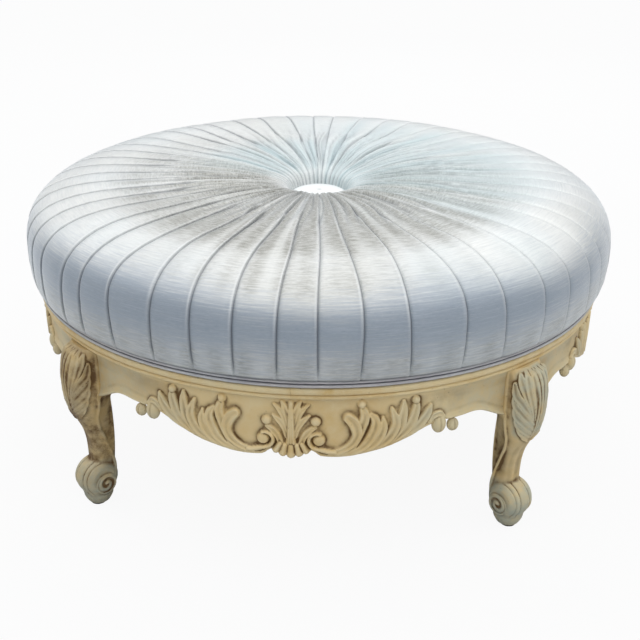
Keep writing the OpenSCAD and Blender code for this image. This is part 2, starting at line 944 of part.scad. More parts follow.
module button_back() {
    color(STEEL)
        translate([0, 0, button_z])
            difference() {
                cylinder(r = button_d / 2 - shell_t - gap - 1, h = back_t);
                translate([0, 0, -1])
                    cylinder(d = twine_d + 1, h = back_t + 2);
            }
}

module button_twine() {
    low = toggle_z - toggle_d / 2 - gap - knot_d / 2;
    high = button_z + back_t + gap + knot_d / 2;
    color(FLEECE) {
        translate([0, 0, low])
            cylinder(d = twine_d, h = high - low);
        for (z = [low, high])
            translate([0, 0, z])
                sphere(d = knot_d);
    }
}

module twine_toggle() {
    color(PLAIN_WOOD)
        translate([0, 0, toggle_z])
            difference() {
                rotate([0, 90, 0])
                    cylinder(d = toggle_d, h = toggle_l, center = true);
                cylinder(d = twine_d + 1, h = 2 * toggle_d, center = true);
            }
}

leg(FRONT_LEFT);  // leg_front_left
leg(FRONT_RIGHT);  // leg_front_right
leg(REAR_RIGHT);  // leg_rear_right
leg(REAR_LEFT);  // leg_rear_left
apron(FRONT);  // apron_front
apron(RIGHT);  // apron_right
apron(REAR);  // apron_rear
apron(LEFT);  // apron_left
carving(FRONT);  // carving_front
carving(RIGHT);  // carving_right
carving(REAR);  // carving_rear
carving(LEFT);  // carving_left
drilled_seat_ring(FRONT_LEFT);  // seat_ring_front_left
drilled_seat_ring(FRONT_RIGHT);  // seat_ring_front_right
drilled_seat_ring(REAR_RIGHT);  // seat_ring_rear_right
drilled_seat_ring(REAR_LEFT);  // seat_ring_rear_left
corner_block(FRONT_LEFT);  // corner_block_front_left
corner_block(FRONT_RIGHT);  // corner_block_front_right
corner_block(REAR_RIGHT);  // corner_block_rear_right
corner_block(REAR_LEFT);  // corner_block_rear_left
glue_blocks();
batten_front();
batten_rear();
frame_dowels();
corner_screws();
seat_screws();
batten_screws();
foot_glides();
seat_board();
foam_core();
wadding();
cover();
welt(welt_z[0]);  // welt_lower
welt(welt_z[1]);  // welt_upper
button_shell();
button_back();
button_twine();
twine_toggle();
dust_cloth();
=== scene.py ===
"""Round ottoman: a pleated, buttoned cushion on a carved and painted frame with four cabriole legs.

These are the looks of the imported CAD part. Shapes are worked out in millimetres and turned into
metres when a mesh is made. The sizes repeat those of the part's source, and one apron faces -Y.
"""

import math

import bpy
import numpy as np
from mathutils import Matrix, Vector


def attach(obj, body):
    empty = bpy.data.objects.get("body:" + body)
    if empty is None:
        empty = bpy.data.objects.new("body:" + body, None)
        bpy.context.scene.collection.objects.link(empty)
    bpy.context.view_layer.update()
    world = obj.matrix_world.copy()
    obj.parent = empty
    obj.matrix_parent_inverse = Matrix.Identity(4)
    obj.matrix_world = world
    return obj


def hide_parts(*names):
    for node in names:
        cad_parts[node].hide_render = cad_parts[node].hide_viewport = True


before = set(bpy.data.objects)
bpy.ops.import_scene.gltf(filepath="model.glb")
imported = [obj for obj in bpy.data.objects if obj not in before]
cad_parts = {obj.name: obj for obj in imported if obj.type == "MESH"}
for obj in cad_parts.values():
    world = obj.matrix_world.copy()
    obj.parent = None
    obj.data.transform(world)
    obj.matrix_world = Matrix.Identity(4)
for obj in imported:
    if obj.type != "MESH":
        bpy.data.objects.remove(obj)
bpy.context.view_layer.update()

MM = 0.001
GAP = 0.3

# Frame sizes, as in the part's source
FRAME_R, FRAME_Z = 485.0, 308.0
RING_Z, RING_IN = 287.5, 405.0
FACE_R, BACK_R = 475.0, 453.0
POST_W, POST_D = 75.0, 45.0
EAR_Z, EAR_SLOPE = 210.0, 0.62
POST_ANGLE = math.degrees(math.asin(POST_W / 2 / FACE_R))
JOINT_ANGLE = 45 - POST_ANGLE
MM_PER_DEG = math.radians(1) * FACE_R

SIDES = {"front": -90, "right": 0, "rear": 90, "left": 180}
CORNERS = {"front_left": -135, "front_right": -45, "rear_right": 45, "rear_left": 135}


# ---- Numbers and curves

def smoothstep(low, high, x):
    t = np.clip((x - low) / (high - low), 0, 1)
    return t * t * (3 - 2 * t)


def bell(x, middle, width):
    return np.exp(-(((x - middle) / width) ** 2))


def catmull(points, steps):
    """Smooth path through the points, with that many steps between two of them."""
    p = np.asarray(points, float)
    p = np.vstack([2 * p[0] - p[1], p, 2 * p[-1] - p[-2]])
    t = np.linspace(0, 1, steps, endpoint=False)[:, None]
    rows = []
    for a, b, c, d in zip(p[:-3], p[1:-2], p[2:-1], p[3:]):
        bend = (2 * a - 5 * b + 4 * c - d) * t * t + (3 * b - a - 3 * c + d) * t**3
        rows.append((2 * b + (c - a) * t + bend) / 2)
    return np.vstack([*rows, p[-2:-1]])


def curve_of(table, steps=12):
    """A smooth function through rows of (x, value)."""
    path = catmull(table, steps)
    path = path[np.argsort(path[:, 0])]
    return lambda x: np.interp(x, path[:, 0], path[:, 1])


def along_segments(line, spots):
    """For each segment of the line: its number, and how far along and away from it each spot lies."""
    for i, (start, end) in enumerate(zip(line[:-1], line[1:])):
        run = end - start
        t = np.clip((spots - start) @ run / max(run @ run, 1e-9), 0, 1)
        yield i, t, np.linalg.norm(spots - start - t[..., None] * run, axis=-1)


def periodic_noise(seed, low, high):
    """A smooth random function of an angle in turns, with that many waves round the circle."""
    count = 24
    rng = np.random.default_rng(seed)
    waves = rng.integers(low, high, count)
    phases = rng.uniform(0, 2 * np.pi, count)

    def value(turns):
        total = sum(np.cos(2 * np.pi * k * turns + phase) for k, phase in zip(waves, phases))
        return total / math.sqrt(count / 2)

    return value


def circle(count):
    return np.linspace(0, 2 * np.pi, count, endpoint=False)


def polar(radius, turn, up):
    """Points from arrays of their radius, angle in radians and height."""
    spots = np.broadcast_arrays(radius * np.cos(turn), radius * np.sin(turn), up)
    return np.stack(spots, -1).reshape(-1, 3)


def turned(points, angle):
    """The points turned about Z by an angle in degrees."""
    c, s = math.cos(math.radians(angle)), math.sin(math.radians(angle))
    x, y, z = np.asarray(points).T
    return np.stack([c * x - s * y, s * x + c * y, z], 1)


# ---- Meshes

def grid_faces(rows, cols, wrap_rows=False, wrap_cols=False):
    """Quads of a grid of points, row by row, facing rows x columns."""
    i = np.arange(rows if wrap_rows else rows - 1)[:, None]
    j = np.arange(cols if wrap_cols else cols - 1)[None, :]
    a, b = i * cols, ((i + 1) % rows) * cols
    k = (j + 1) % cols
    return np.stack([a + j, b + j, b + k, a + k], -1).reshape(-1, 4)


def fan(centre, ring):
    """Triangles from a centre to the points of a ring."""
    return np.stack([np.full(len(ring), centre), ring, np.roll(ring, -1)], 1)


def capped_faces(rows, cols):
    """A grid whose last row meets its first, with a polygon over each end."""
    end = np.arange(rows) * cols
    return [grid_faces(rows, cols, wrap_rows=True), end[None, ::-1], (end + cols - 1)[None, :]]


def add_mesh(name, points, faces):
    """Mesh object from points in millimetres and a list of arrays of equal polygons."""
    mesh = bpy.data.meshes.new(name)
    loops = np.concatenate([f.ravel() for f in faces])
    sizes = np.concatenate([np.full(len(f), f.shape[1]) for f in faces])
    mesh.vertices.add(len(points))
    mesh.vertices.foreach_set("co", (np.asarray(points) * MM).astype(np.float32).ravel())
    mesh.loops.add(len(loops))
    mesh.loops.foreach_set("vertex_index", loops.astype(np.int32))
    mesh.polygons.add(len(sizes))
    starts = np.concatenate([[0], np.cumsum(sizes)[:-1]])
    mesh.polygons.foreach_set("loop_start", starts.astype(np.int32))
    mesh.update(calc_edges=True)
    mesh.shade_smooth()
    mesh.polygons.foreach_set("use_smooth", sizes <= 4)
    piece = bpy.data.objects.new(name, mesh)
    bpy.context.scene.collection.objects.link(piece)
    return piece


def add_attributes(piece, **fields):
    """Under each name, one number for each point."""
    for name, values in fields.items():
        attribute = piece.data.attributes.new(name, "FLOAT", "POINT")
        attribute.data.foreach_set("value", np.asarray(values, np.float32).ravel())


def read(items, key, width, kind=np.float32):
    """A property of mesh items, as rows of that width."""
    values = np.zeros(len(items) * width, kind)
    items.foreach_get(key, values)
    return values.reshape(-1, width)


# Times that a surface is smoothed, to find its fine, broad and wide hollows
HOLLOW_STEPS = (3, 24, 90)


def hollowness(piece, scales):
    """How far each point lies below its smoothed surroundings, in millimetres, at each scale."""
    mesh = piece.data
    points = read(mesh.vertices, "co", 3) / MM
    normals = read(mesh.vertex_normals, "vector", 3)
    edges = read(mesh.edges, "vertices", 2, np.int32)
    ends = np.concatenate([edges[:, 0], edges[:, 1]])
    others = np.concatenate([edges[:, 1], edges[:, 0]])
    count = np.bincount(ends, minlength=len(points))[:, None]
    smooth, found = points.astype(float), []
    for step in range(1, max(scales) + 1):
        near = [np.bincount(ends, smooth[others, k], len(points)) for k in range(3)]
        smooth = 0.3 * smooth + 0.7 * np.stack(near, 1) / count
        if step in scales:
            found.append(((smooth - points) * normals).sum(1))
    return found


def wear_and_shade_of(piece, keep=1.0, wash=0.0, dirt_and_shade=0.0):
    """Wear and painted light of the paint: where glazing has gathered and painted shade darkens the
    hollows, where edges are rubbed and given a painted highlight, and the grey wash.

    keep is 0 beside a joint, where the end of the piece is no edge to the eye.
    """
    fine, broad, wide = hollowness(piece, HOLLOW_STEPS)
    glaze = (1.1 * fine + 0.6 * broad + 0.3 * wide) * keep + dirt_and_shade
    rub = -(1.5 * fine + 0.5 * broad) * keep
    return np.clip([glaze, rub, 0 * fine + wash], 0, 1)


def add_wear_and_shade(piece, wear_and_shade, more=0.0, less=0.0):
    """Attributes for the paint, with more painted shade and less of the wash on this piece."""
    glaze, rub, wash = wear_and_shade
    glaze, wash = np.clip(glaze + more, 0, 1), np.clip(wash - less, 0, 1)
    add_attributes(piece, glaze=glaze, rub=rub, wash=wash)


def put(piece, material, nodes):
    """Gives a piece its material, hangs it on the root body, and lets it ride in place of CAD nodes."""
    piece.data.materials.append(material)
    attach(piece, "root")
    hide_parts(*nodes)


# ---- Materials

def srgb(*rgb):
    """Linear colour of an sRGB tone given as 0 to 255."""
    c = np.array(rgb) / 255
    linear = np.where(c <= 0.04045, c / 12.92, ((c + 0.055) / 1.055) ** 2.4)
    return (*[float(x) for x in linear], 1.0)


class Nodes:
    """Short way to write the nodes of a material or a world."""

    def __init__(self, name, kind=bpy.data.materials):
        self.owner = kind.new(name)
        self.owner.use_nodes = True
        self.tree = self.owner.node_tree
        self.shader = self.tree.nodes.get("Principled BSDF")

    def add(self, kind, sockets=None, **settings):
        node = self.tree.nodes.new("ShaderNode" + kind)
        for key, value in settings.items():
            setattr(node, key, value)
        for key, value in (sockets or {}).items():
            self.set(node.inputs[key], value)
        return node

    def set(self, socket, value):
        if isinstance(value, bpy.types.NodeSocket):
            self.tree.links.new(value, socket)
        else:
            socket.default_value = value

    def shade(self, **sockets):
        for key, value in sockets.items():
            self.set(self.shader.inputs[key.replace("_", " ")], value)

    def math(self, operation, a, b=0.0):
        return self.add("Math", {0: a, 1: b}, operation=operation).outputs[0]

    def times(self, a, b):
        return self.math("MULTIPLY", a, b)

    def plus(self, a, b):
        return self.math("ADD", a, b)

    def mix(self, share, a, b):
        return self.add("Mix", {0: share, 6: a, 7: b}, data_type="RGBA").outputs[2]

    def layer(self, base, tone, share, amount):
        """The base with an amount of the tone over it, where the share says so."""
        return self.mix(self.times(share, amount), base, tone)

    def ramp(self, value, low=0.0, high=1.0, to=(0.0, 1.0)):
        """The value's share of the way from low to high, spread between the two ends."""
        sockets = {"Value": value, "From Min": low, "From Max": high, "To Min": to[0], "To Max": to[1]}
        return self.add("MapRange", sockets).outputs[0]

    def place(self, *scale, source="Object"):
        where = self.add("TexCoord").outputs[source]
        return self.add("Mapping", {"Vector": where, "Scale": scale or (1, 1, 1)}).outputs[0]

    def noise(self, scale, detail=3.0, place=None, roughness=0.5):
        sockets = {"Scale": scale, "Detail": detail, "Roughness": roughness}
        sockets["Vector"] = place or self.place()
        return self.add("TexNoise", sockets).outputs["Fac"]

    def cloth(self, across, along, detail, roughness):
        """Noise drawn out along the cloth, with that many waves to a metre round and up it."""
        return self.noise(1.0, detail, self.place(across, along, 1.0, source="UV"), roughness)

    def attribute(self, name):
        return self.add("Attribute", attribute_name=name).outputs["Fac"]

    def bump(self, height, strength, distance, below=None):
        sockets = {"Height": height, "Strength": strength, "Distance": distance}
        if below is not None:
            sockets["Normal"] = below
        return self.add("Bump", sockets).outputs[0]


CREAM = srgb(232, 208, 155)
CREAM_WARM = srgb(214, 182, 120)
GLAZE_AND_SHADE_TONE = srgb(104, 76, 38)
RUBBED_AND_HIGHLIGHT = srgb(233, 220, 184)
WASH = srgb(176, 180, 163)


def painted(name):
    """Cream paint with brown glazing and painted shade in its hollows, rubbed and given a painted
    highlight on its edges, and washed grey-green.
    """
    n = Nodes(name)
    patch = n.noise(5.0, 4.0)
    mottle = n.noise(38.0, 6.0, roughness=0.65)
    blotch = n.noise(24.0, 5.0, roughness=0.7)
    speck = n.noise(240.0, 1.0)
    grit = n.noise(420.0, 3.0)
    base = n.mix(n.ramp(patch, 0.35, 0.68), CREAM, CREAM_WARM)
    base = n.layer(base, RUBBED_AND_HIGHLIGHT, n.ramp(mottle, 0.3, 0.75), 0.5)
    base = n.layer(base, WASH, n.ramp(mottle, 0.2, 0.62), n.attribute("wash"))
    # Rubbed edges, partly a painted highlight where the ridges catch the light
    base = n.layer(base, RUBBED_AND_HIGHLIGHT, n.ramp(mottle, 0.3, 0.6, to=(0.0, 0.4)), n.attribute("rub"))
    # Brown glazing in the hollows, partly painted shade where shade falls in them
    base = n.layer(base, GLAZE_AND_SHADE_TONE, n.ramp(blotch, 0.36, 0.62, to=(0.3, 1.25)), n.attribute("glaze"))
    base = n.layer(base, GLAZE_AND_SHADE_TONE, n.ramp(speck, 0.73, 0.78), 0.35)
    n.shade(
        Base_Color=base,
        Roughness=n.ramp(mottle, to=(0.42, 0.62)),
        Specular_IOR_Level=0.4,
        Normal=n.bump(mottle, 0.35, 0.0012, n.bump(grit, 0.25, 0.0006)),
    )
    return n.owner


def velvet(name, tone, dark, seam, gloss=0.25, sheen=1.0):
    """Silver velvet: a soft gloss with fine slubs across the pleats, and pale where seen edge-on."""
    n = Nodes(name)
    slub = n.cloth(24.0, 380.0, 5.0, 0.7)
    thread = n.cloth(240.0, 2600.0, 2.0, 0.5)
    fleck = n.ramp(n.cloth(64.0, 300.0, 5.0, 0.75), 0.4, 0.6)
    cloud = n.noise(9.0, 4.0)
    drift = n.noise(4.0, 3.0)
    pile = n.noise(900.0, 2.0)
    streak = n.ramp(n.plus(n.times(slub, 0.75), n.times(thread, 0.25)), 0.36, 0.62)
    color = n.mix(streak, dark, tone)
    color = n.layer(color, srgb(244, 246, 244), n.ramp(cloud, 0.4, 0.7), 0.3)
    color = n.layer(color, srgb(206, 204, 192), n.ramp(drift, 0.45, 0.7), 0.35)
    color = n.layer(color, srgb(206, 224, 226), n.ramp(drift, 0.5, 0.3), 0.3)
    # Painted shade where the light falls less: warm grey in the hollow, cool beyond it, blue-grey round
    # the side
    dim = n.times(n.attribute("dim"), n.ramp(cloud, 0.0, 0.48))
    color = n.layer(color, srgb(138, 137, 128), dim, n.ramp(fleck, to=(1.15, 0.7)))
    color = n.layer(color, srgb(250, 251, 250), fleck, 0.225)
    color = n.mix(n.attribute("cool"), color, srgb(178, 200, 205))
    # The painted shade band round the side, ragged with the slubs, in a deep blue-grey
    shade = n.attribute("shade")
    ragged = n.ramp(n.plus(shade, n.times(slub, 2.2)), 1.25, 2.05)
    deep = n.mix(streak, srgb(134, 148, 164), srgb(174, 183, 193))
    color = n.layer(color, deep, ragged, n.ramp(shade, 0.0, 0.2))
    # A painted highlight along the lip beside each seam
    color = n.layer(color, srgb(246, 248, 248), n.attribute("lip"), 0.55)
    # Painted shade in the creases, in the seam tone
    color = n.mix(n.attribute("crease"), color, seam)
    n.shade(
        Base_Color=color,
        Metallic=gloss,
        Roughness=n.ramp(slub, to=(0.42, 0.62)),
        Normal=n.bump(streak, 0.25, 0.0009, n.bump(pile, 0.12, 0.0005)),
        Sheen_Weight=sheen,
        Sheen_Roughness=0.35,
        Sheen_Tint=srgb(240, 244, 248),
    )
    return n.owner


def wood(name, light, dark, scale=1.0, ply=False):
    """Plain wood with its grain along X, or plywood with layers seen at its edge."""
    n = Nodes(name)
    place = n.place(1.2 * scale, 14 * scale, 14 * scale)
    grain = n.noise(9.0, 5.0, place, 0.6)
    ring = n.add("TexWave", {"Vector": place, "Scale": 1.4, "Distortion": 5.0, "Detail": 3.0})
    color = n.mix(n.ramp(grain, 0.3, 0.7), dark, light)
    color = n.layer(color, dark, ring.outputs["Fac"], 0.35)
    if ply:
        per_metre = 1 / 0.0036
        height = n.add("SeparateXYZ", {"Vector": n.place()}).outputs["Z"]
        layer = n.math("FRACT", n.times(height, per_metre))
        color = n.layer(color, dark, n.ramp(layer, 0.45, 0.55), 0.3)
    n.shade(Base_Color=color, Roughness=0.62, Normal=n.bump(grain, 0.3, 0.0008))
    return n.owner


def steel(name):
    n = Nodes(name)
    fine = n.noise(700.0, 2.0)
    color = n.mix(n.noise(60.0), srgb(150, 152, 155), srgb(196, 197, 198))
    rough = n.ramp(fine, to=(0.25, 0.5))
    n.shade(Base_Color=color, Metallic=1.0, Roughness=rough, Normal=n.bump(fine, 0.1, 0.0002))
    return n.owner


def plastic(name):
    n = Nodes(name)
    color = n.mix(n.noise(80.0), srgb(34, 33, 32), srgb(52, 50, 48))
    n.shade(Base_Color=color, Roughness=0.5, Normal=n.bump(n.noise(1400.0, 2.0), 0.2, 0.0002))
    return n.owner


def twine(name):
    """Twisted linen twine."""
    n = Nodes(name)
    sockets = {"Vector": n.place(60, 60, 220), "Scale": 1.0, "Distortion": 0.6}
    twist = n.add("TexWave", sockets, bands_direction="DIAGONAL").outputs["Fac"]
    n.shade(
        Base_Color=n.mix(twist, srgb(188, 178, 152), srgb(226, 220, 200)),
        Roughness=0.8,
        Normal=n.bump(twist, 0.5, 0.0004, n.bump(n.noise(1800.0, 2.0), 0.2, 0.0002)),
    )
    return n.owner


def lining(name):
    """Black woven dust cloth."""
    n = Nodes(name)
    sockets = {"Vector": n.place(), "Scale": 260.0}
    yarns = [n.add("TexWave", sockets, bands_direction=way).outputs["Fac"] for way in "XY"]
    weave = n.times(*yarns)
    color = n.mix(weave, srgb(26, 26, 28), srgb(58, 58, 60))
    n.shade(Base_Color=color, Roughness=0.9, Normal=n.bump(weave, 0.4, 0.0004))
    return n.owner


# ---- Carved relief

def flute(rel):
    """Section of a leaf lobe: two rolled rims with a groove between them."""
    return np.sqrt(np.clip(1 - rel**6, 0, 1)) * (0.52 + 0.48 * rel**2)


def roll(rel):
    """Section of a round bead."""
    return np.sqrt(np.clip(1 - rel**2, 0, 1))


def twin_flute(rel):
    """Section of a stem with two grooves."""
    return np.clip(1 - rel**8, 0, 1) * (0.72 + 0.28 * np.cos(2 * np.pi * rel) ** 2)


class Relief:
    """Height of the carving over places given by their coordinates, which are in millimetres."""

    def __init__(self, places):
        self.places = places
        self.height = np.zeros(len(places))

    def stroke(self, path, width, height, section=flute, steps=6):
        """One carved stroke along a path, with half width and height given at even steps of it."""
        line = catmull(path, steps)
        share = np.linspace(0, 1, len(line))
        wide = np.interp(share, np.linspace(0, 1, len(width)), width)
        high = np.interp(share, np.linspace(0, 1, len(height)), height)
        reach = wide.max() + 1
        above, below = self.places > line.min(0) - reach, self.places < line.max(0) + reach
        near = (above & below).all(1)
        spots = self.places[near]
        best = np.full(len(spots), 9.0)
        tall = np.zeros(len(spots))
        for i, t, away in along_segments(line, spots):
            rel = away / (wide[i] + (wide[i + 1] - wide[i]) * t)
            tall = np.where(rel < best, high[i] + (high[i + 1] - high[i]) * t, tall)
            best = np.minimum(rel, best)
        inside = best < 1
        rel, kept = best[inside], self.height[near]
        under = kept[inside] * (1 - smoothstep(1, 0.8, rel))
        kept[inside] = np.maximum(tall[inside] * section(rel), under)
        self.height[near] = kept

    def boss(self, centre, radius, height, power=2.0):
        """A round knob."""
        away = np.linalg.norm(self.places - np.asarray(centre), axis=1) / radius
        inside = away < 1
        dome = height * np.clip(1 - away[inside] ** power, 0, 1) ** (1 / power)
        self.height[inside] = np.maximum(dome, self.height[inside] * 0.3)


# ---- Aprons

# Lower edge of an apron: degrees from its middle, height
APRON_EDGE = curve_of([
    (0, 189.5), (1.5, 192.5), (2.75, 197.5), (3.4, 200), (4.2, 196.5), (5, 192), (7.5, 190.5),
    (10, 191.5), (13, 195.5), (17, 203.5), (20, 213), (22.5, 222), (24.3, 227.5), (26.5, 230.5),
    (30.5, 232.5), (33, 234.5), (35, 232), (37, 224.5), (39, 215.5), (40.5, 210), (42, 206),
])
EDGE_ROLL = 7.0

# Leaf lobes beside the scroll, from the leg towards the middle: (degrees, height) from tip to root
LEAF_LOBES = [
    [(24.3, 264), (23.4, 249), (21.9, 233), (19.6, 218), (16.5, 207)],
    [(21.6, 275), (21.4, 259), (20.5, 237), (18.4, 218), (14.5, 203.5)],
    [(19.3, 276), (19.2, 257), (18.6, 234), (16.6, 213), (13, 200)],
    [(17.2, 267), (18, 243), (16.9, 221), (14.8, 205.5), (11.5, 197.5)],
    [(15.7, 253), (15.7, 235), (14.4, 214), (12.4, 201.5), (10, 196.5)],
    [(13.5, 261), (14.4, 249), (14, 230), (12.7, 211), (10.6, 199), (8.6, 196)],
    [(11.9, 276), (12.5, 259), (12, 240), (10.7, 211), (9, 199)],
]
LOBE_WIDTHS = [2.2, 6.0, 7.4, 7.8, 7.0, 5.6, 4.0, 2.6]
LOBE_HEIGHTS = [7, 8.5, 8.5, 8, 7, 6, 5, 3.5]
MAIN_STEM = [
    (9.7, 257), (10.5, 250), (11.1, 239), (11.2, 227), (10.4, 214), (8.7, 203.5), (7.2, 201),
    (6.0, 203),
]
MAIN_STEM_WIDTHS = [7.6, 8.8, 8.2, 7.2, 6.2, 5.2, 4.6, 4.2]
MAIN_STEM_HEIGHTS = [9.5, 9, 8.5, 8, 7, 6.5, 6, 6]
INNER_LEAF = [(4.1, 241), (3.2, 236), (2.3, 227), (1.7, 213), (1.5, 202)]
CENTRE_STEM = [(0, 280), (0, 250), (0, 225), (0, 205)]
BERRY_LEAF = [(24.2, 236), (24.9, 245), (26.0, 247), (26.9, 241)]
PALMETTE = [
    [(3.1, 259.5), (2.1, 252.5), (1.2, 240), (0.7, 226)],
    [(2.95, 277), (1.75, 267), (0.9, 250), (0.5, 236)],
    [(1.6, 283), (1.1, 273), (0.65, 259), (0.4, 246)],
]
# The shell below the palmette: path and half width of each lobe
SHELL = [
    ([(2.75, 201), (1.9, 214)], 5.2),
    ([(1.5, 196.8), (1.0, 212)], 5.8),
    ([(0, 194), (0, 211)], 6.4),
]
# Degrees, height, radius and rise of each knob
KNOBS = [(4.2, 250.5, 7.2, 7.0), (12.0, 277, 6.0, 7.5), (21.5, 276, 6.0, 7.5)]
SCROLL_AT, SCROLL_R = (4.5, 221.0), 14.0
SCROLL_WIDTHS = [4.4, 4.2, 3.2, 2.9, 2.8, 2.6, 2.0]
SCROLL_HEIGHTS = [6, 7.5, 8.6, 8.8, 8.6, 8.2, 7]
EYE_AT, EYE_R, EYE_RISE = (4.8, 221.0), 8.8, 7.2
# The berries at the end of the leaves: degrees, height, half width, half height, depth
BERRIES = [(26.2, 228.5, 11.0, 14.5, 9.0), (29.0, 222.5, 9.0, 10.2, 8.0)]
BERRY_R = FACE_R - 1.5


def on_face(path):
    """Points (degrees, height) as millimetres along the face."""
    return [(a * MM_PER_DEG, z) for a, z in path]


def scroll_path():
    """The rim of the scroll, from the stem under it round its inner side to its top."""
    cx, cz = SCROLL_AT[0] * MM_PER_DEG, SCROLL_AT[1]
    path = on_face([(7.4, 201.2), (6.4, 202.4), (5.4, 205.0)])
    for angle in range(0, 220, 20):
        a = math.radians(-95 - angle)
        r = SCROLL_R - 0.8 - 2.6 * angle / 200
        path.append((cx + r * math.cos(a), cz + r * math.sin(a)))
    return path


def apron_relief(along, up):
    """Height of the carving on an apron's face, over points along it and up from the floor."""
    carving = Relief(np.stack([along, up], 1))

    def carve(path, *shape):
        carving.stroke(on_face(path), *shape)

    def edge(start, end, count, rise):
        return [(a, float(APRON_EDGE(a)) + rise) for a in np.linspace(start, end, count)]

    carve(edge(5.2, 24.5, 24, 3.2), [3.2, 4.5, 5, 5, 4.5, 3], [3, 4.2, 4.5, 4.2, 3.5, 2], roll, 1)
    for path in LEAF_LOBES:
        carve(path, LOBE_WIDTHS, LOBE_HEIGHTS)
    carve(BERRY_LEAF, [3, 5, 5, 3], [5, 7, 7, 5])
    carve(MAIN_STEM, MAIN_STEM_WIDTHS, MAIN_STEM_HEIGHTS)
    for path in PALMETTE:
        carve(path, [1.6, 4.6, 4.2, 3.4], [6.5, 7.5, 6, 5.5])
    carve(INNER_LEAF, [3, 5, 4.6, 3.8], [6.5, 7, 6, 5])
    carve(CENTRE_STEM, [3.6, 5.0, 6.2, 11], [6.5, 7.5, 7, 6.5], twin_flute)
    carving.boss(*on_face([EYE_AT]), EYE_R, EYE_RISE, 3.2)
    carving.stroke(scroll_path(), SCROLL_WIDTHS, SCROLL_HEIGHTS, roll, 2)
    for path, wide in SHELL:
        carve(path, [wide, wide * 0.8], [8.5, 6.5], roll)
    for angle, z, radius, height in KNOBS:
        carving.boss((angle * MM_PER_DEG, z), radius, height)
    carve(edge(28, 41.5, 14, 2.6), [2.2, 2.8, 2.8, 2.8], [2.5, 3.4, 3.6, 3.6], roll, 1)
    # Beside the leg the face is hollowed between the bead of the arch and the seat ring
    over_edge = smoothstep(4, 16, up - APRON_EDGE(along / MM_PER_DEG))
    cove = smoothstep(24, 31, along / MM_PER_DEG) * over_edge * smoothstep(0, 22, RING_Z - up)
    return carving.height - 2.6 * cove


def softened(field):
    """The field with each value drawn towards its neighbours."""
    padded = np.pad(field, 1, mode="edge")
    across = padded[:, :-2] + 2 * padded[:, 1:-1] + padded[:, 2:]
    return (across[:-2] + 2 * across[1:-1] + across[2:]) / 16


def apron_points():
    """Rows of the apron at -Y from its top down the face, round the edge and up the back."""
    cols, flat_rows, roll_rows = 800, 84, 8
    angles = np.linspace(-JOINT_ANGLE, JOINT_ANGLE, cols + 1)
    low = APRON_EDGE(np.abs(angles))
    down = np.linspace(0, 1, flat_rows + 1)[:, None]
    bend = np.radians(np.linspace(0, 90, roll_rows + 1))[1:, None]
    face = RING_Z + (low + EDGE_ROLL - RING_Z) * down
    up = np.vstack([face, low + EDGE_ROLL * (1 - np.sin(bend))])
    depth = np.vstack([0 * down, EDGE_ROLL * (np.cos(bend) - 1)])
    kept = np.vstack([0 * down + 1, np.cos(bend) ** 0.5]) * smoothstep(0, 2.5, RING_Z - up)

    along = np.broadcast_to(angles * MM_PER_DEG, up.shape)[:, cols // 2:]
    carved = apron_relief(along.ravel(), up[:, cols // 2:].ravel()).reshape(along.shape)
    carved = softened(np.hstack([carved[:, :0:-1], carved]))
    radius = FACE_R + depth + carved * kept

    # Under the edge and up the back: radius, rise over the edge, share of the way to the top
    rest = [(FACE_R - 15, 0, 0), (BACK_R + 1.5, 0, 0), (BACK_R, 1.5, 0)]
    rest += [(BACK_R, 0, share) for share in (0.2, 0.5, 0.8, 1.0)]
    radius = np.vstack([radius, *[np.full_like(low, r) for r, _, _ in rest]])
    up = np.vstack([up, *[low + rise + (RING_Z - low) * share for _, rise, share in rest]])
    return polar(radius, np.radians(angles - 90), up), radius.shape


def berry_points(angle, z, wide, tall, deep, rings=22, sides=32):
    """A bud with a seam down its middle, that hangs from the edge of the apron at -Y."""
    lat = np.linspace(-math.pi / 2, math.pi / 2, rings + 1)[1:-1]
    lat, lon = [x.ravel() for x in np.meshgrid(lat, circle(sides), indexing="ij")]
    out, side, up = np.cos(lat) * np.cos(lon), np.cos(lat) * np.sin(lon), np.sin(lat)
    slit = 1 - 0.16 * bell(side, 0, 0.12) * smoothstep(0.1, 0.5, out)
    points = np.stack([out * deep * slit, side * wide, up * tall], 1)
    points = np.vstack([points, [[0, 0, -tall], [0, 0, tall]]]) + [BERRY_R, 0, z]
    foot = (rings - 1) * sides
    faces = [
        grid_faces(rings - 1, sides, wrap_cols=True)[:, ::-1],
        fan(foot, np.arange(sides))[:, ::-1],
        fan(foot + 1, np.arange(foot - sides, foot)),
    ]
    return turned(points, angle - 90), faces


def joined(parts):
    """Several (points, faces) as one, still apart from each other."""
    points, faces, start = [], [], 0
    for p, fs in parts:
        points.append(p)
        faces += [f + start for f in fs]
        start += len(p)
    return np.vstack(points), faces


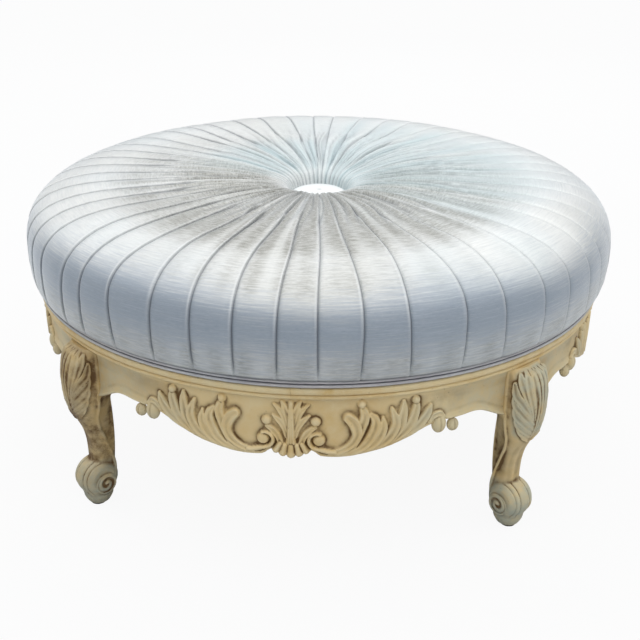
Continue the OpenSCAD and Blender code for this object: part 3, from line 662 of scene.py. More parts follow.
def make_aprons(material):
    points, (rows, cols) = apron_points()
    parts = [(points, capped_faces(rows, cols))]
    for angle, *shape in BERRIES:
        parts += [berry_points(side * angle, *shape) for side in (-1, 1)]
    points, faces = joined(parts)
    angle = np.abs(np.degrees(np.arctan2(points[:, 0], -points[:, 1])))
    proud = np.hypot(points[:, 0], points[:, 1]) - FACE_R
    wash = 0.45 * smoothstep(20, 34, angle)
    wash = np.maximum(wash, 0.5 * smoothstep(0.5, 5, proud) * smoothstep(14, 25, angle))
    keep = smoothstep(0.5, 3.5, (JOINT_ANGLE - angle) * MM_PER_DEG)
    # Darker above the berries towards the seat ring, a little beside the legs, and on the berries
    above = smoothstep(18, 24, angle) * smoothstep(35, 28, angle)
    above = above * smoothstep(236, 276, points[:, 2])
    dirt_and_shade = 0.3 * above + 0.12 * smoothstep(31, 39, angle)
    berries = slice(rows * cols, None)
    wash[berries], dirt_and_shade[berries], keep[berries] = 0.45, 0.75, 0.25
    wear_and_shade = None
    for side, where in SIDES.items():
        piece = add_mesh(f"apron_{side}_carved", turned(points, where + 90), faces)
        wear_and_shade = wear_and_shade_of(piece, keep, wash, dirt_and_shade) if wear_and_shade is None else wear_and_shade
        add_wear_and_shade(piece, wear_and_shade)
        put(piece, material, (f"apron_{side}", f"carving_{side}"))


# ---- Seat ring

BIG_BEAD, SMALL_BEAD = 6.7, 3.55
BEAD_CORE = FRAME_R - BIG_BEAD
BEAD_END, RING_UNEVEN = 82, 0.15


def make_seat_ring(material):
    """Four quarters of the ring with its two beads, each over one leg."""
    bend = np.radians(np.linspace(-BEAD_END, BEAD_END, 15))
    out, over = np.cos(bend), 1 + np.sin(bend)
    profile = np.array([
        (RING_IN, RING_Z), (460, RING_Z), (470, RING_Z), (BEAD_CORE - 0.5, RING_Z),
        *zip(BEAD_CORE + SMALL_BEAD * out, RING_Z + SMALL_BEAD * over),
        *zip(BEAD_CORE + BIG_BEAD * out, FRAME_Z - BIG_BEAD * (2 - over)),
        (BEAD_CORE - 0.5, FRAME_Z), (460, FRAME_Z), (RING_IN, FRAME_Z),
    ])
    rows, cols = len(profile), 361
    faces = [f[:, ::-1] for f in capped_faces(rows, cols)]
    proud = smoothstep(BEAD_CORE + 1, BEAD_CORE + 4, profile[:, :1])
    unevenness = periodic_noise(5, 3, 60)
    from_corner = np.linspace(-45, 45, cols)
    keep = np.tile(smoothstep(0.3, 1.0, 45 - np.abs(from_corner)), rows)
    for corner, where in CORNERS.items():
        turn = np.radians(where + from_corner)
        radius = profile[:, :1] + RING_UNEVEN * proud * unevenness(turn / (2 * np.pi))
        points = polar(np.minimum(radius, FRAME_R), turn, profile[:, 1:])
        piece = add_mesh(f"seat_ring_{corner}_moulded", points, faces)
        add_wear_and_shade(piece, wear_and_shade_of(piece, keep))
        put(piece, material, (f"seat_ring_{corner}",))


# ---- Legs

CELL = 1.0
# The box round half a leg in which its surface is looked for
LEG_LOW, LEG_HIGH = np.array([425.5, 0, 0.5]), np.array([519.5, 43.5, 290])
FOOT_X, FOOT_Z = 471.0, 50.5
GLIDE_T = 3.0
# The C scroll on the side of the foot: its middle from that of the foot, its reach, pitch and rise
EYE_OFFSET, EYE_REACH, SPIRAL_PITCH, SPIRAL_RISE = (3, 7), 17.5, 12.5, 1.9
# Height, then front radius, back radius, half width and squareness of the leg's section
LEG_TABLE = np.array([
    (40, 476, 440, 20.0, 2.6), (60, 476, 441, 19.5, 2.8), (80, 476.5, 440, 19.0, 3.0),
    (100, 477, 438.5, 19.0, 3.1), (119, 478.5, 438, 19.6, 3.2), (140, 483.5, 438.5, 21.5, 3.2),
    (162, 494, 439.5, 25, 3.0), (184, 503, 440.5, 29, 2.7), (205, 507.5, 441, 32, 2.5),
    (235, 509, 441, 33.5, 2.4), (258, 505.5, 441, 33.5, 2.4), (270, 501.5, 441, 33.5, 2.4),
    (279, 496, 441, 33.5, 2.4), (284, 491, 441, 33.5, 2.4), (287.5, 486.5, 441, 33.5, 2.4),
])
LEG_CURVE = catmull(LEG_TABLE, 10)

# Knee leaf: (degrees round the section from the front, height) from tip to root, and half width
KNEE_STEM = [(0, 283), (0, 262), (0, 235), (0, 205), (0, 172)]
KNEE_LOBES = [
    ([(26, 176), (15, 169), (6, 165), (0, 162)], 4.6),
    ([(40, 186), (30, 176), (14, 169), (3, 165)], 5.2),
    ([(52, 199), (43, 186), (24, 176), (3, 168)], 5.8),
    ([(60, 215), (53, 200), (32, 187), (3, 174)], 6.4),
    ([(65, 232), (59, 215), (38, 201), (4, 182)], 6.8),
    ([(67, 249), (62, 232), (42, 217), (4, 191)], 6.8),
    ([(66, 267), (62, 249), (44, 234), (5, 201)], 6.8),
    ([(50, 281), (47, 266), (38, 249), (9, 208)], 6.6),
    ([(32, 284), (33, 268), (28, 246), (10, 205)], 6.4),
    ([(14, 285), (16, 268), (13, 244), (5, 200)], 6.0),
]
LOBE_SHAPE = [0.45, 0.9, 1.0, 0.95, 0.8, 0.55]
LOBE_RISE = [7.4, 7.0, 6.0, 5.0, 4.0, 2.6]
# The bead down the side of the leg, and its distance from the axis of the ottoman by height
SIDE_BEAD = [
    (475.5, 37.8, 211.5), (474.5, 35.5, 206), (473.5, 33.2, 198), (473, 31, 189), (473.3, 28.8, 178),
    (474, 26.4, 165), (470.5, 23.6, 147), (464, 21.4, 130), (457, 20.3, 110), (451, 19.6, 92),
    (447, 19.4, 76), (446, 19, 62), (449, 18, 50),
]
BEAD_LINE = curve_of([(z, x) for x, _, z in reversed(SIDE_BEAD)])
SIDE_BEAD_R = 2.4
# Fillets of the bead, the ear and the foot
BEAD_FILLET, EAR_FILLET, FOOT_FILLET = 2.0, 7.0, 3.5
# Half of the foot's roll: distance from its middle, radius
FOOT_RIBS = curve_of([
    (0, 32.6), (5, 32.4), (8.2, 31.4), (9.8, 29.2), (11.4, 30.6), (14, 30.6), (16.6, 29.6),
    (18, 27.2), (19.6, 27.0), (22.5, 24.5), (25, 21.5), (27, 18.0), (29, 15),
])
# Room for dowels, corner screws and the nail of the glide, as in the part's source
DOWEL_Z, DOWEL_BORE, DOWEL_DEPTH = (267.5, 232.0), 4.2, 20
SCREW_Z, SCREW_BORE, SCREW_END = (258.7, 276.3), 2.45, 461
NAIL_BORE, NAIL_TOP = 1.7, 20
# Painted shade: how much darker each leg is painted than the lightest one, the left ones most, as the
# light falls from the right
LEG_SHADE = {"front_right": 0.0, "rear_right": 0.06, "rear_left": 0.14, "front_left": 0.42}


def leg_section(z):
    """Middle, half depth, half width and squareness of the leg at each height."""
    front, back, wide, square = [np.interp(z, LEG_CURVE[:, 0], LEG_CURVE[:, k]) for k in range(1, 5)]
    return (front + back) / 2, (front - back) / 2, wide, square


def on_leg(path):
    """Points (degrees, height) on the surface of the leg, as x, y, z."""
    spots = []
    for angle, z in path:
        mid, deep, wide, square = [float(v) for v in leg_section(z)]
        c, s = math.cos(math.radians(angle)), math.sin(math.radians(angle))
        size = ((c / deep) ** square + (abs(s) / wide) ** square) ** (-1 / square)
        spots.append((mid + c * size, s * size, z))
    return spots


def soft_min(a, b, soft):
    """Union of two fields, with a fillet of that size between them."""
    h = np.clip(0.5 + 0.5 * (b - a) / soft, 0, 1)
    return b + (a - b) * h - soft * h * (1 - h)


def grown(mask):
    """The mask with its neighbours along the three axes."""
    wide = mask.copy()
    for axis in range(3):
        over, under = np.moveaxis(wide, axis, 0), np.moveaxis(mask, axis, 0)
        over[1:] |= under[:-1]
        over[:-1] |= under[1:]
    return wide


def reached(mask, seed):
    """The part of the mask that is joined to the seed."""
    found = np.zeros_like(mask)
    found[seed] = True
    size = 0
    while found.sum() > size:
        size = found.sum()
        for _ in range(8):
            found = grown(found) & mask
    return found


def mended(field, seed):
    """The field without crumbs, pinholes or places where solid meets solid along a line alone."""
    small = 0.02
    field = np.where((field < 0) & ~reached(field < 0, seed), small, field)
    field = np.where((field >= 0) & ~reached(field >= 0, (0, -1, 0)), -small, field)
    for _ in range(6):
        for pair in ((0, 1), (1, 2), (0, 2)):
            flat = np.moveaxis(field, pair, (0, 1))
            a, b, c, d = flat[:-1, :-1], flat[1:, :-1], flat[1:, 1:], flat[:-1, 1:]
            b[(a < 0) & (c < 0) & (b >= 0) & (d >= 0)] = -small
            a[(a >= 0) & (c >= 0) & (b < 0) & (d < 0)] = -small
    return field


def surface_nets(field, origin, cell):
    """Closed quads round the places where the field is below zero."""
    shape = np.array(field.shape) - 1
    stride = np.array([shape[1] * shape[2], shape[2], 1])
    spots, quads = [], []
    for axis in range(3):
        low = np.take(field, range(shape[axis]), axis)
        high = np.take(field, range(1, shape[axis] + 1), axis)
        at = np.argwhere((low < 0) != (high < 0))
        a, b = low[tuple(at.T)], high[tuple(at.T)]
        spot = at.astype(float)
        spot[:, axis] += a / (a - b)
        around = []
        for step in ((0, 0), (1, 0), (1, 1), (0, 1)):
            corner = at.copy()
            corner[:, [(axis + 1) % 3, (axis + 2) % 3]] -= step
            around.append(corner @ stride)
        around = np.stack(around, 1)
        around[a >= 0] = around[a >= 0][:, ::-1]
        spots.append(spot)
        quads.append(around)
    spots, quads = np.vstack(spots), np.vstack(quads)
    _, index = np.unique(quads.ravel(), return_inverse=True)
    weights = np.repeat(spots, 4, axis=0)
    points = np.stack([np.bincount(index, weights[:, k]) for k in range(3)], 1)
    return origin + points / np.bincount(index)[:, None] * cell, index.reshape(-1, 4)


def leg_shaft_field(x, y, z):
    """Distance from the plain shaft, roughly, with y given as its size alone."""
    mid, deep, wide, square = leg_section(z)
    # The side is hollowed behind its bead, most under the apron's arch
    behind = smoothstep(-1, -7, x - BEAD_LINE(z)) * smoothstep(441, 447, x)
    sunk = 5.5 * behind * smoothstep(95, 150, z) * smoothstep(216, 203, z)
    u, v = np.abs(x - mid) / deep, (y + sunk) / wide
    size = (u**square + v**square) ** (1 / square)
    slope = np.hypot(u ** (square - 1) / deep, v ** (square - 1) / wide)
    slope = np.maximum(slope / np.maximum(size, 1e-6) ** (square - 1), 1e-4)
    return (size - 1) / np.maximum(slope, 1 / np.maximum(deep, wide))


def leg_carving(x, y, z, field):
    """Height of the relief over the shaft, near its surface."""
    mid = leg_section(z)[0]
    pull = field / np.maximum(np.hypot(x - mid, y), 1e-6)
    carving = Relief(np.stack([x - (x - mid) * pull, y - y * pull, z], 1))
    shin = smoothstep(0, 9, 15 - y) * smoothstep(172, 150, z + 0.6 * y)
    carving.height = 1.6 * shin * (x > mid)
    for path, wide in KNEE_LOBES:
        carving.stroke(on_leg(path), [wide * share for share in LOBE_SHAPE], LOBE_RISE)
    carving.stroke(on_leg(KNEE_STEM), [3.0, 4.4, 4.6, 4.2, 3.0], [5, 6.6, 6.4, 5.4, 3.5])
    return carving.height * smoothstep(287, 279, z)


def foot_field(x, y, z):
    """The scroll foot: a ribbed roll across the leg, a C scroll on each side, and a rounded base."""
    out, up = x - FOOT_X, z - FOOT_Z
    barrel = np.maximum(np.hypot(out, up) - FOOT_RIBS(y), y - 26)
    eye_x, eye_z = out + EYE_OFFSET[0], up + EYE_OFFSET[1]
    ring = np.hypot(eye_x, eye_z)
    spin = np.degrees(np.arctan2(eye_z, eye_x)) / 360
    spiral = np.cos(2 * np.pi * (ring / SPIRAL_PITCH - spin + 0.1))
    raised = SPIRAL_RISE * spiral * smoothstep(18, 14, ring)
    boss = np.maximum(ring - EYE_REACH, y - 27.2 - raised)
    base_r = np.interp(z, [GLIDE_T, 5, 9, 15, 26], [14.5, 17.5, 20, 23, 25])
    base = np.maximum(np.hypot(out + 1.5, y) - base_r, np.maximum(GLIDE_T - z, z - 30))
    return soft_min(soft_min(barrel, boss, 2.0), base, 4.0)


def bar_field(x, y, z, path, radius):
    """Distance from a round bar along a path."""
    best = np.full(x.shape, 99.0)
    for _, _, away in along_segments(catmull(path, 5), np.stack([x, y, z], -1)):
        best = np.minimum(best, away - radius)
    return best


def leg_bores(x, y, z):
    """Distance from the holes in the leg, roughly."""
    turn, centre = math.radians(POST_ANGLE), (FACE_R + BACK_R) / 2
    to_joint = np.abs(y * math.cos(turn) - x * math.sin(turn))
    across = x * math.cos(turn) + y * math.sin(turn) - centre
    holes = [np.maximum(np.hypot(x - FOOT_X, y) - NAIL_BORE, z - NAIL_TOP)]
    for height in DOWEL_Z:
        round_dowel = np.hypot(across, z - height) - DOWEL_BORE
        holes.append(np.maximum(round_dowel, to_joint - DOWEL_DEPTH))
    for height in SCREW_Z:
        holes.append(np.maximum(np.hypot(y, z - height) - SCREW_BORE, x - SCREW_END))
    return np.minimum.reduce(holes)


def leg_field(x, y, z):
    """The whole leg on the +X axis. It is alike on both sides, so y is its size alone."""
    shaft = leg_shaft_field(x, y, z)
    close = np.abs(shaft) < 9
    lift = np.zeros_like(shaft)
    lift[close] = leg_carving(x[close], y[close], z[close], shaft[close])
    body = np.maximum.reduce([shaft - lift, 44 - z, z - RING_Z])
    body = soft_min(body, bar_field(x, y, z, SIDE_BEAD, SIDE_BEAD_R), BEAD_FILLET)
    ear_low = EAR_Z - (POST_W / 2 - y) * EAR_SLOPE
    ear = np.maximum.reduce([
        np.hypot(x, y) - FACE_R,
        FACE_R - POST_D - x,
        z - RING_Z,
        (ear_low - z) * 0.85,
    ])
    # The knee runs into the ear in a hollow curve, and all stops at the joint with the apron
    past_joint = (np.degrees(np.arctan2(y, x)) - POST_ANGLE) * MM_PER_DEG
    field = np.maximum(soft_min(body, ear, EAR_FILLET), past_joint)
    field = soft_min(field, foot_field(x, y, z), FOOT_FILLET)
    return np.maximum(field, -leg_bores(x, y, z))


def leg_points():
    """Points and quads of the leg on the +X axis, from its field in a box of cells."""
    count = np.ceil((LEG_HIGH - LEG_LOW) / CELL).astype(int)
    axes = [low + CELL * np.arange(n) for low, n in zip(LEG_LOW, count)]
    x, y, z = np.meshgrid(*axes, indexing="ij")
    field = leg_field(x.ravel(), y.ravel(), z.ravel()).reshape(x.shape)
    in_post = np.array([470, 0, 250])
    field = mended(field, tuple(((in_post - LEG_LOW) / CELL).astype(int)))
    field = np.concatenate([field[:, :0:-1], field], axis=1)
    points, quads = surface_nets(field, LEG_LOW - [0, axes[1][-1], 0], CELL)
    points[:, 2] = np.clip(points[:, 2], GLIDE_T, RING_Z)
    return points, quads


def make_legs(material):
    """One leg is worked out, and its mesh is turned to the four corners."""
    points, quads = leg_points()
    x, y, z = points.T
    # The grey-green wash lies on the knee leaf and the foot. The rest of the leg is darker: a little
    # all over, stains on the shin, painted shade on its inner side under the apron, and painted shadow
    # with glazing on the foot's pad by the floor
    knee = smoothstep(165, 185, z) * smoothstep(478, 490, x) * 0.85
    wash = np.maximum(knee, smoothstep(92, 70, z))
    inside = smoothstep(476, 462, x) * smoothstep(80, 110, z) * smoothstep(214, 190, z)
    shin = smoothstep(75, 95, z) * smoothstep(185, 160, z)
    dirt_and_shade = 0.15 + 0.3 * inside + 0.3 * shin + 0.35 * smoothstep(16, 4, z)
    to_joint = (POST_ANGLE - np.degrees(np.arctan2(np.abs(y), x))) * MM_PER_DEG
    keep = smoothstep(0.5, 3.5, to_joint)
    keep *= 1 + 0.9 * smoothstep(478, 488, x) * smoothstep(160, 172, z)

    upper = smoothstep(150, 170, z)
    shade_spread = 0.5 + 0.55 * upper + 1.7 * smoothstep(75, 95, z) * smoothstep(190, 160, z)
    wear_and_shade = None
    # Each leg gets its own painted shade, strongest on the shin and knee, and loses some wash from its
    # knee leaf with it
    for corner, more in LEG_SHADE.items():
        piece = add_mesh(f"leg_{corner}_carved", turned(points, CORNERS[corner]), [quads])
        wear_and_shade = wear_and_shade_of(piece, keep, wash, dirt_and_shade) if wear_and_shade is None else wear_and_shade
        add_wear_and_shade(piece, wear_and_shade, more * shade_spread, 1.3 * more * upper)
        put(piece, material, (f"leg_{corner}",))


# ---- Cushion

CUSHION_R, ROLL_Z, ROLL_EDGE = 500.0, 320.9, 488.0
WAIST_Z, CREST_Z, CREST_R = 373.5, 471.5, 320.0
SHOULDER = 2.9
WELL_R, WELL_Z = 50.0, 424.5
# Above this the cloth belongs to the top, and not to the side
TOP_Z = 400
# The hollow's line from the crest down to the button: radius, height
HOLLOW = [
    (290, 471.4), (250, 471.2), (200, 470.6), (150, 467.6), (120, 463.8), (100, 460.8), (82, 458.2),
    (68, 453.8), (59, 448.5), (53.5, 441), (50.4, 432),
]
BOARD_TOP, BOARD_R, HEM_R, HEM_Z = 326.0, 477.3, 480.7, 308.6
# From the button inwards, over the seat board and round its edge to the foot: radius, height
INSIDE = np.array([
    (WELL_R - 3, WELL_Z), (25, WELL_Z), (3.6, WELL_Z), (3.6, 380), (3.6, BOARD_TOP + GAP),
    (120, BOARD_TOP + GAP), (300, BOARD_TOP + GAP), (BOARD_R, BOARD_TOP + GAP),
    (BOARD_R + 0.1, HEM_Z), (HEM_R, HEM_Z), (HEM_R, ROLL_Z - 1), (HEM_R + 1.5, ROLL_Z),
])
PLEATS = 48
# Pleats read at the foot of the cushion, in degrees from the middle of the front; the others are even
SEEN_SEAMS = [-31.9, -23.5, -16.05, -9.04, -2.09, 4.52, 11.29, 19.45, 28.6, 36.75, 45.5]
# Columns of one pleat: share of its width from one seam to the next
PLEAT_COLUMNS = [0, 0.022, 0.06, 0.13, 0.24, 0.38, 0.53, 0.68, 0.81, 0.9, 0.955, 0.982]
PLEAT_DEPTH, SEAM_WANDER, PUCKER, UNEVEN = 2.5, 0.36, 0.35, 0.8
# Gathers of the hollow: seed, fewest and most waves round the circle, size
GATHERS = [(21, 50, 90, 1.0), (22, 100, 150, 0.8), (23, 160, 210, 0.5)]


def velvet_mesh(name, radius, turn, up, lengths, girth=3.14):
    """A grid of cloth that wraps both ways, with metres round and up it as its UV map."""
    rows, cols = radius.shape
    faces = grid_faces(rows, cols, wrap_rows=True, wrap_cols=True)[:, ::-1]
    piece = add_mesh(name, polar(radius, turn, up), [faces])
    layer = piece.data.uv_layers.new(name="cloth")
    i, j = np.indices((rows, cols))
    across = np.stack([j + 1, j + 1, j, j], -1) / cols * girth
    steps = np.stack([i, i + 1, i + 1, i], -1)
    along = np.interp(steps, np.arange(len(lengths)), lengths) * MM
    layer.data.foreach_set("uv", np.stack([across, along], -1).astype(np.float32).ravel())
    return piece


def seam_angles():
    """Directions of the seams from -Y, in degrees and rising."""
    rng = np.random.default_rng(12)
    rest = PLEATS - len(SEEN_SEAMS)
    start, end = SEEN_SEAMS[-1], SEEN_SEAMS[0] + 360
    step = (end - start) / (rest + 1)
    others = start + step * (np.arange(rest) + 1) + rng.uniform(-0.9, 0.9, rest)
    return np.sort(np.concatenate([SEEN_SEAMS, others]))


def cushion_outline(rows=158):
    """Outer line from the foot to the well: radius, height and length so far, at even steps."""
    foot, over = np.radians(np.linspace(-90, 0, 60)), np.radians(np.linspace(0, 90, 400)[1:-1])
    power = 2 / SHOULDER
    side_r = ROLL_EDGE + (CUSHION_R - ROLL_EDGE) * np.cos(foot)
    side_z = WAIST_Z + (WAIST_Z - ROLL_Z) * np.sin(foot)
    over_r = CREST_R + (CUSHION_R - CREST_R) * np.cos(over) ** power
    over_z = WAIST_Z + (CREST_Z - WAIST_Z) * np.sin(over) ** power
    line = np.vstack([
        np.stack([side_r, side_z], 1),
        np.stack([over_r, over_z], 1),
        catmull([(CREST_R, CREST_Z), *HOLLOW], 20),
    ])
    length = np.concatenate([[0], np.cumsum(np.linalg.norm(np.diff(line, axis=0), axis=1))])
    at = np.linspace(0, length[-1], rows)
    return [np.interp(at, length, values)[:, None] for values in (line[:, 0], line[:, 1], length)]


def pleat_grid(radius, near_button):
    """Angle, share of its pleat, width of that pleat and phase of its puckers, for each point."""
    rng = np.random.default_rng(3)
    knots = rng.normal(0, 1, (PLEATS, 6))
    phases = rng.uniform(0, 6.28, PLEATS)
    # Each seam wanders a little on its way up and over
    knots[:, 0] = 0
    path = np.linspace(0, 5, len(radius))
    wander = np.stack([curve_of(list(enumerate(k)), 24)(path) for k in knots], 1)
    left = seam_angles() + SEAM_WANDER * wander
    right = np.roll(left, -1, axis=1)
    right[:, -1] += 360
    # The columns lie close beside the seams, and evenly where the hollow is gathered
    per = len(PLEAT_COLUMNS)
    share = np.tile(PLEAT_COLUMNS, PLEATS)
    share = share + (np.tile(np.arange(per) / per, PLEATS) - share) * near_button
    which = np.repeat(np.arange(PLEATS), per)
    span = (right - left)[:, which]
    return left[:, which] + span * share, share, radius * np.radians(span), phases[which]


def pleat_height(share, width):
    """Height of the velvet over its fold line, across a pleat of that width."""
    left, right = share * width, (1 - share) * width
    rise = 1 - np.exp(-left / 2.4)
    lip = 1 - np.exp(-right / 0.8)
    pillow = -1.2 * np.abs(2 * share - 1) ** 2.2
    return PLEAT_DEPTH * (np.minimum(rise, lip) - 1) + pillow + bell(right, 2.8, 2.0)


def painted_shade_zones(radius, up, angle):
    """Painted shade on the velvet, where the light falls less: cool round the side, and warm grey in
    the hollow.
    """
    turns = (angle / 360) % 1
    from_front = (angle + 180) % 360 - 180
    facing = np.cos(np.radians(angle))
    on_side, on_top = radius > CREST_R, up > TOP_Z
    level = up + 6 * periodic_noise(61, 2, 9)(turns)
    # Round the sides of the ottoman the painted shade band fades, as the light still catches the velvet
    # there
    caught = 1 - 0.92 * bell(np.abs(from_front), 94, 26)
    shade = smoothstep(472, 406, level) * on_side * (1 - 0.6 * smoothstep(398, 338, up)) * caught

    wide_front = 70 * bell(from_front, 0, 55)
    hollow = smoothstep(380, 280, radius - wide_front) * smoothstep(56, 100, radius) * on_top
    shoulder = bell(from_front, 0, 30) * smoothstep(492, 462, radius) * smoothstep(330, 400, radius)
    foot = smoothstep(402, 352, level) * on_side
    dim = [hollow * (0.66 + 0.56 * facing), 0.5 * shoulder * on_top, 0.6 * foot]
    dim = np.maximum.reduce(dim) * (0.8 + 0.2 * periodic_noise(62, 30, 90)(turns))

    # Cool painted shade on the right and on the back wall of the hollow
    right = smoothstep(-0.1, 1.0, np.cos(np.radians(angle - 122))) * smoothstep(440, 300, radius)
    back_wall = smoothstep(0.2, -0.5, facing) * smoothstep(270, 170, radius)
    cool = 0.6 * np.maximum(right, back_wall * smoothstep(52, 90, radius)) * on_top
    cool = cool * (0.8 + 0.2 * periodic_noise(63, 9, 40)(turns))
    return {"shade": shade, "dim": np.clip(dim, 0, 1), "cool": np.clip(cool, 0, 1)}


def make_cushion(material):
    """A closed ring of velvet: the outline outside, and the foot that sits on the seat board inside."""
    radius, up, at = cushion_outline()
    run = np.gradient(np.hstack([radius, up]), axis=0)
    run /= np.linalg.norm(run, axis=1)[:, None]
    near_button = smoothstep(300, 120, radius) * smoothstep(350, 420, up)
    angle, share, width, phase = pleat_grid(radius, near_button)
    turns = (angle / 360) % 1

    depth = np.minimum(smoothstep(0, 30, at) * (1 - 0.5 * near_button) + 0.25, 1)
    height = pleat_height(share, width) * depth
    # Puckers beside the seams, the gathers of the hollow, and the unevenness of hand work
    from_seam = np.minimum(share, 1 - share) * width
    pucker = np.sin(at / 3.6 + phase) * 0.5 + np.sin(at / 6.1 + 2 * phase) * 0.5
    height += PUCKER * pucker * np.exp(-from_seam / 6)
    gather = smoothstep(345, 190, radius) * smoothstep(54, 110, radius) * smoothstep(400, 440, up)
    drawn = turns + 0.004 * np.sin(at / 40)
    folds = sum(size * periodic_noise(seed, low, high)(drawn) for seed, low, high, size in GATHERS)
    height += folds * gather
    uneven = smoothstep(0, 60, at) * smoothstep(52, 100, radius)
    height += UNEVEN * periodic_noise(31, 4, 14)(turns) * uneven

    # Painted shade in the creases: along each seam, in the gathers of the hollow, and in the gap above
    # the welt
    crease = np.exp(-from_seam / 1.3) * smoothstep(2, 30, at)
    crease = crease * (1 - 0.3 * smoothstep(400, 455, up)) * (1 - 0.5 * near_button)
    crease += np.clip(-0.22 * folds, 0, 0.6) * gather
    crease = 0.95 * np.maximum(crease, 0.95 * smoothstep(7, 1, at))
    # A painted highlight on the lip beside each seam, faint low down the side
    lip = bell((1 - share) * width, 2.6, 1.3) * (1 - near_button)
    lip = lip * (0.2 + 0.8 * smoothstep(380, 440, up))

    outer_r = np.minimum(radius + height * run[:, 1:], CUSHION_R + 1)
    outer_z = up - height * run[:, :1]
    pad = np.zeros((len(INSIDE), angle.shape[1]))
    inner_angle = pad + angle[-1]
    inner_angle[len(INSIDE) // 2:] = angle[0]
    turn = np.radians(np.vstack([angle, inner_angle]) - 90)
    all_r, all_z = np.vstack([outer_r, pad + INSIDE[:, :1]]), np.vstack([outer_z, pad + INSIDE[:, 1:]])
    lengths = np.append(at, at[-1] + 40 * np.arange(1, len(INSIDE) + 2))
    piece = velvet_mesh("cushion", all_r, turn, all_z, lengths)
    fields = {"crease": crease, "lip": lip, **painted_shade_zones(radius, up, angle)}
    add_attributes(piece, **{key: np.vstack([values, pad]) for key, values in fields.items()})
    put(piece, material, ("cover", "wadding", "foam_core"))


# ---- Welts, button and dust cloth

WELT_R, WELT_D = 484.0, 6.0
WELT_SLACK, WELT_FOLD = 0.12, 0.09
# Name, height of its middle and seed of its folds
WELTS = [("welt_lower", 311.3, 51), ("welt_upper", 317.6, 52)]
BUTTON_R, BUTTON_H = 48.0, 15.0
BUTTON_WALL, BUTTON_TOP, BUTTON_FOLD = 2.4, 2.3, 0.35
CLOTH_R, CLOTH_TOP, CLOTH_T, CLOTH_SAG = 428.0, 247.2, 0.6, 3.0


def make_welt(name, middle, material, seed):
    """One cord of the double welt, in a bias strip that pulls into faint folds."""
    turn, around = circle(900), circle(14)[:, None]
    folds = periodic_noise(seed, 90, 260)(turn / (2 * np.pi))
    size = WELT_D / 2 - WELT_SLACK + WELT_FOLD * np.clip(folds, -1.3, 1.3)
    radius, up = WELT_R + size * np.cos(around), middle + size * np.sin(around)
    piece = velvet_mesh(f"{name}_cord", radius, turn, up, np.arange(len(around) + 1) * 1.3)
    # Painted shade on the top and underside of each cord, where it meets its neighbour
    between = smoothstep(0.55, 1.0, np.abs(np.sin(around)))
    add_attributes(piece, crease=np.broadcast_to(between, radius.shape))
    put(piece, material, (name,))


def make_button(material):
    """The covered button: a dome whose cloth is drawn over its edge, hollow below for its plate."""
    bend = np.radians([0, 6, 14, 24, 35, 46, 57, 67, 76, 83, 88])
    dome = zip(BUTTON_R * np.cos(bend) ** 0.6, BUTTON_H * (0.35 + 0.65 * np.sin(bend)))
    outer = [(BUTTON_R - 0.6, 0.0), (BUTTON_R, 1.5), *dome]
    wall = BUTTON_R - BUTTON_WALL
    inner = [(wall * r / BUTTON_R, max(z - BUTTON_TOP, 0.0)) for r, z in reversed(outer)]
    inner[-2:] = [(wall, 3.0), (wall, 0.0)]
    profile = np.array([*outer, (0.4, BUTTON_H), (0.4, BUTTON_H - BUTTON_TOP), *inner])
    turn = circle(144)
    folds = periodic_noise(44, 30, 60)(turn / (2 * np.pi))
    outside = (np.arange(len(profile)) < len(outer))[:, None]
    edge = smoothstep(0.75, 1.0, profile[:, :1] / BUTTON_R) * outside
    radius = profile[:, :1] - BUTTON_FOLD * edge * (1 + np.clip(folds, -1, 1))
    up = profile[:, 1:] + WELL_Z + GAP
    piece = velvet_mesh("button", radius, turn, up, np.arange(len(profile) + 1) * 4.0, 0.3)
    put(piece, material, ("button_shell",))


def make_dust_cloth(material):
    """Cloth stapled under the blocks, with a slight sag between them."""
    rings, cols = 30, 144
    share = np.linspace(0, 1, rings + 1)[1:, None]
    turn = circle(cols)
    ripple = np.cos(4 * turn) * share**2 * (1 - share)
    upper = polar(CLOTH_R * share, turn, CLOTH_TOP - CLOTH_SAG * (1 - share**2) + ripple)
    middle = [[0, 0, CLOTH_TOP - CLOTH_SAG]]
    down = [0, 0, CLOTH_T]
    points = np.vstack([upper, upper - down, middle, np.subtract(middle, down)])
    count = rings * cols
    first, rim = np.arange(cols), np.arange(count - cols, count)
    next_rim = np.roll(rim, -1)
    sheet = grid_faces(rings, cols, wrap_cols=True)
    faces = [
        sheet,
        sheet[:, ::-1] + count,
        np.stack([rim, rim + count, next_rim + count, next_rim], 1),
        fan(2 * count, first),
        fan(2 * count + 1, first + count)[:, ::-1],
    ]
    piece = add_mesh("dust_cloth_stretched", points, faces)
    put(piece, material, ("dust_cloth",))


# ---- The nodes that keep their CAD shape

def dress_nodes():
    plain = wood("plain_wood_look", srgb(214, 178, 124), srgb(168, 124, 74))
    looks = {
        "seat_board": wood("plywood_look", srgb(220, 192, 146), srgb(178, 138, 90), 0.6, ply=True),
        "foot_glides": plastic("glide_look"),
        "button_twine": twine("twine_look"),
    }
    metal = steel("steel_look")
    for name in ("corner_screws", "seat_screws", "batten_screws", "button_back"):
        looks[name] = metal
    for name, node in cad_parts.items():
        if not node.hide_render:
            for slot in node.material_slots:
                slot.material = looks.get(name, plain)


# ---- Stage, lights and camera

FLOOR_SIZE = 30
# The sky from straight below to straight above
SKY = [
    (0.0, (0.03, 0.035, 0.04)), (0.3, (0.04, 0.045, 0.055)), (0.52, (0.12, 0.125, 0.13)),
    (0.64, (0.85, 0.86, 0.87)), (0.8, (1.0, 1.0, 1.0)), (1.0, (0.85, 0.85, 0.84)),
]
SKY_STRENGTH = 1.65
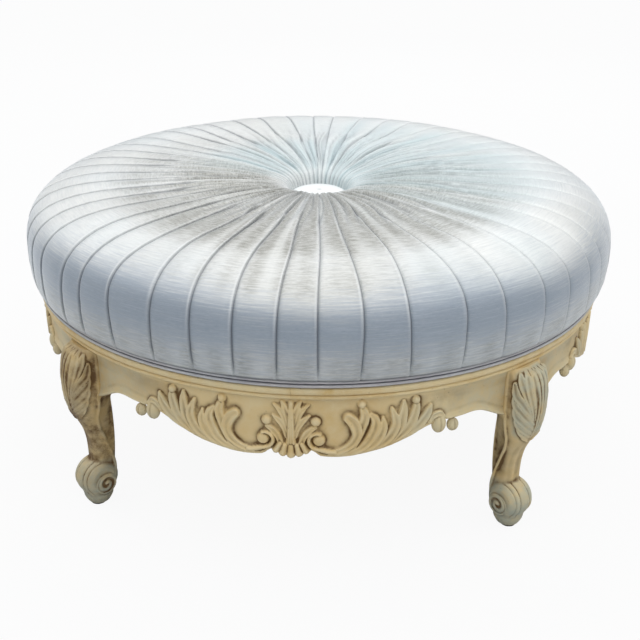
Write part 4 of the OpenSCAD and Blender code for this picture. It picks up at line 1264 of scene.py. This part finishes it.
# Place in metres and power in watts
LAMPS = {
    "rear": ((0, 3.0, 2.0), 21),
    "front": ((0.3, -3.0, 2.0), 9),
    "right": ((2.6, -0.7, 1.9), 8.5),
    "left": ((-2.6, 0.8, 2.2), 14),
}
LAMP_SIZE, LAMP_AIM = 2.4, (0, 0, 0.3)
# The photograph's viewpoint: degrees, then metres and millimetres
VIEW_UP, VIEW_ROUND, VIEW_ROLL = 23.2, 4.44, 0.484
VIEW_AIM, VIEW_DISTANCE = (0, 0, 0.25), 1.93
LENS, SENSOR = 59.74, 36
SHIFT_X, SHIFT_Y = 0.0027, -0.049


def make_stage():
    """A pale floor that keeps the shadow and is nearly white to the camera."""
    bpy.ops.mesh.primitive_plane_add(size=FLOOR_SIZE)
    floor = bpy.context.object
    floor.name = "floor"
    n = Nodes("floor_look")
    grey = n.mix(n.noise(3.0), srgb(196, 198, 200), srgb(202, 204, 206))
    n.shade(Base_Color=grey, Roughness=0.9)
    seen = n.times(n.add("LightPath").outputs["Is Camera Ray"], 0.93)
    glow = n.add("Emission", {"Color": (1, 1, 1, 1), "Strength": 1.0})
    both = n.add("MixShader", {0: seen, 1: n.shader.outputs[0], 2: glow.outputs[0]})
    n.set(n.tree.nodes["Material Output"].inputs["Surface"], both.outputs[0])
    floor.data.materials.append(n.owner)


def make_world():
    """A studio: bright overhead, a dim band round the horizon, and white to the camera."""
    n = Nodes("studio", bpy.data.worlds)
    bpy.context.scene.world = n.owner
    n.tree.nodes.clear()
    way = n.add("TexCoord").outputs["Generated"]
    height = n.add("SeparateXYZ", {0: way}).outputs["Z"]
    ramp = n.add("ValToRGB", {0: height})
    stops = ramp.color_ramp.elements
    stops[0].color, stops[-1].color = (*SKY[0][1], 1), (*SKY[-1][1], 1)
    for position, color in SKY[1:-1]:
        stops.new(position).color = (*color, 1)
    light = n.add("Background", {"Color": ramp.outputs[0], "Strength": SKY_STRENGTH})
    white = n.add("Background", {"Color": (1, 1, 1, 1)})
    seen = n.add("LightPath").outputs["Is Camera Ray"]
    both = n.add("MixShader", {0: seen, 1: light.outputs[0], 2: white.outputs[0]})
    n.add("OutputWorld", {"Surface": both.outputs[0]})


def add_lamp(name, place, power):
    data = bpy.data.lights.new(name, "AREA")
    data.shape = "DISK"
    data.size = LAMP_SIZE
    data.energy = power
    lamp = bpy.data.objects.new(name, data)
    bpy.context.scene.collection.objects.link(lamp)
    lamp.location = place
    aim = Vector(LAMP_AIM) - Vector(place)
    lamp.rotation_euler = aim.to_track_quat("-Z", "Y").to_euler()


def make_camera():
    up, round_z = math.radians(VIEW_UP), math.radians(VIEW_ROUND)
    away = Vector((
        math.cos(up) * math.sin(round_z),
        -math.cos(up) * math.cos(round_z),
        math.sin(up),
    ))
    data = bpy.data.cameras.new("camera")
    data.sensor_width = SENSOR
    data.lens = LENS
    data.shift_x, data.shift_y = SHIFT_X, SHIFT_Y
    camera = bpy.data.objects.new("camera", data)
    bpy.context.scene.collection.objects.link(camera)
    camera.location = Vector(VIEW_AIM) + away * VIEW_DISTANCE
    level = away.to_track_quat("Z", "Y").to_matrix()
    tilt = Matrix.Rotation(math.radians(VIEW_ROLL), 3, "Z")
    camera.rotation_euler = (level @ tilt).to_euler()
    bpy.context.scene.camera = camera


make_camera()
make_stage()
make_world()
for lamp, (place, power) in LAMPS.items():
    add_lamp(lamp, place, power)
bpy.context.scene.view_settings.view_transform = "Standard"

make_aprons(painted("cream_paint"))
make_seat_ring(painted("moulding_paint"))
make_legs(painted("leg_paint"))
# Each velvet: its tone, the dark of its slubs, and the painted shade in its creases
silver = (srgb(238, 239, 237), srgb(206, 210, 212), srgb(100, 106, 114))
make_cushion(velvet("silver_velvet", *silver))
lilac = (srgb(196, 192, 194), srgb(158, 156, 164), srgb(96, 96, 104))
cord = velvet("welt_velvet_look", *lilac, gloss=0.1, sheen=0.2)
for welt, middle, seed in WELTS:
    make_welt(welt, middle, cord, seed)
pearl = (srgb(243, 246, 245), srgb(236, 240, 240), srgb(200, 204, 206))
make_button(velvet("button_velvet_look", *pearl, gloss=0.0))
make_dust_cloth(lining("dust_cloth_look"))
dress_nodes()
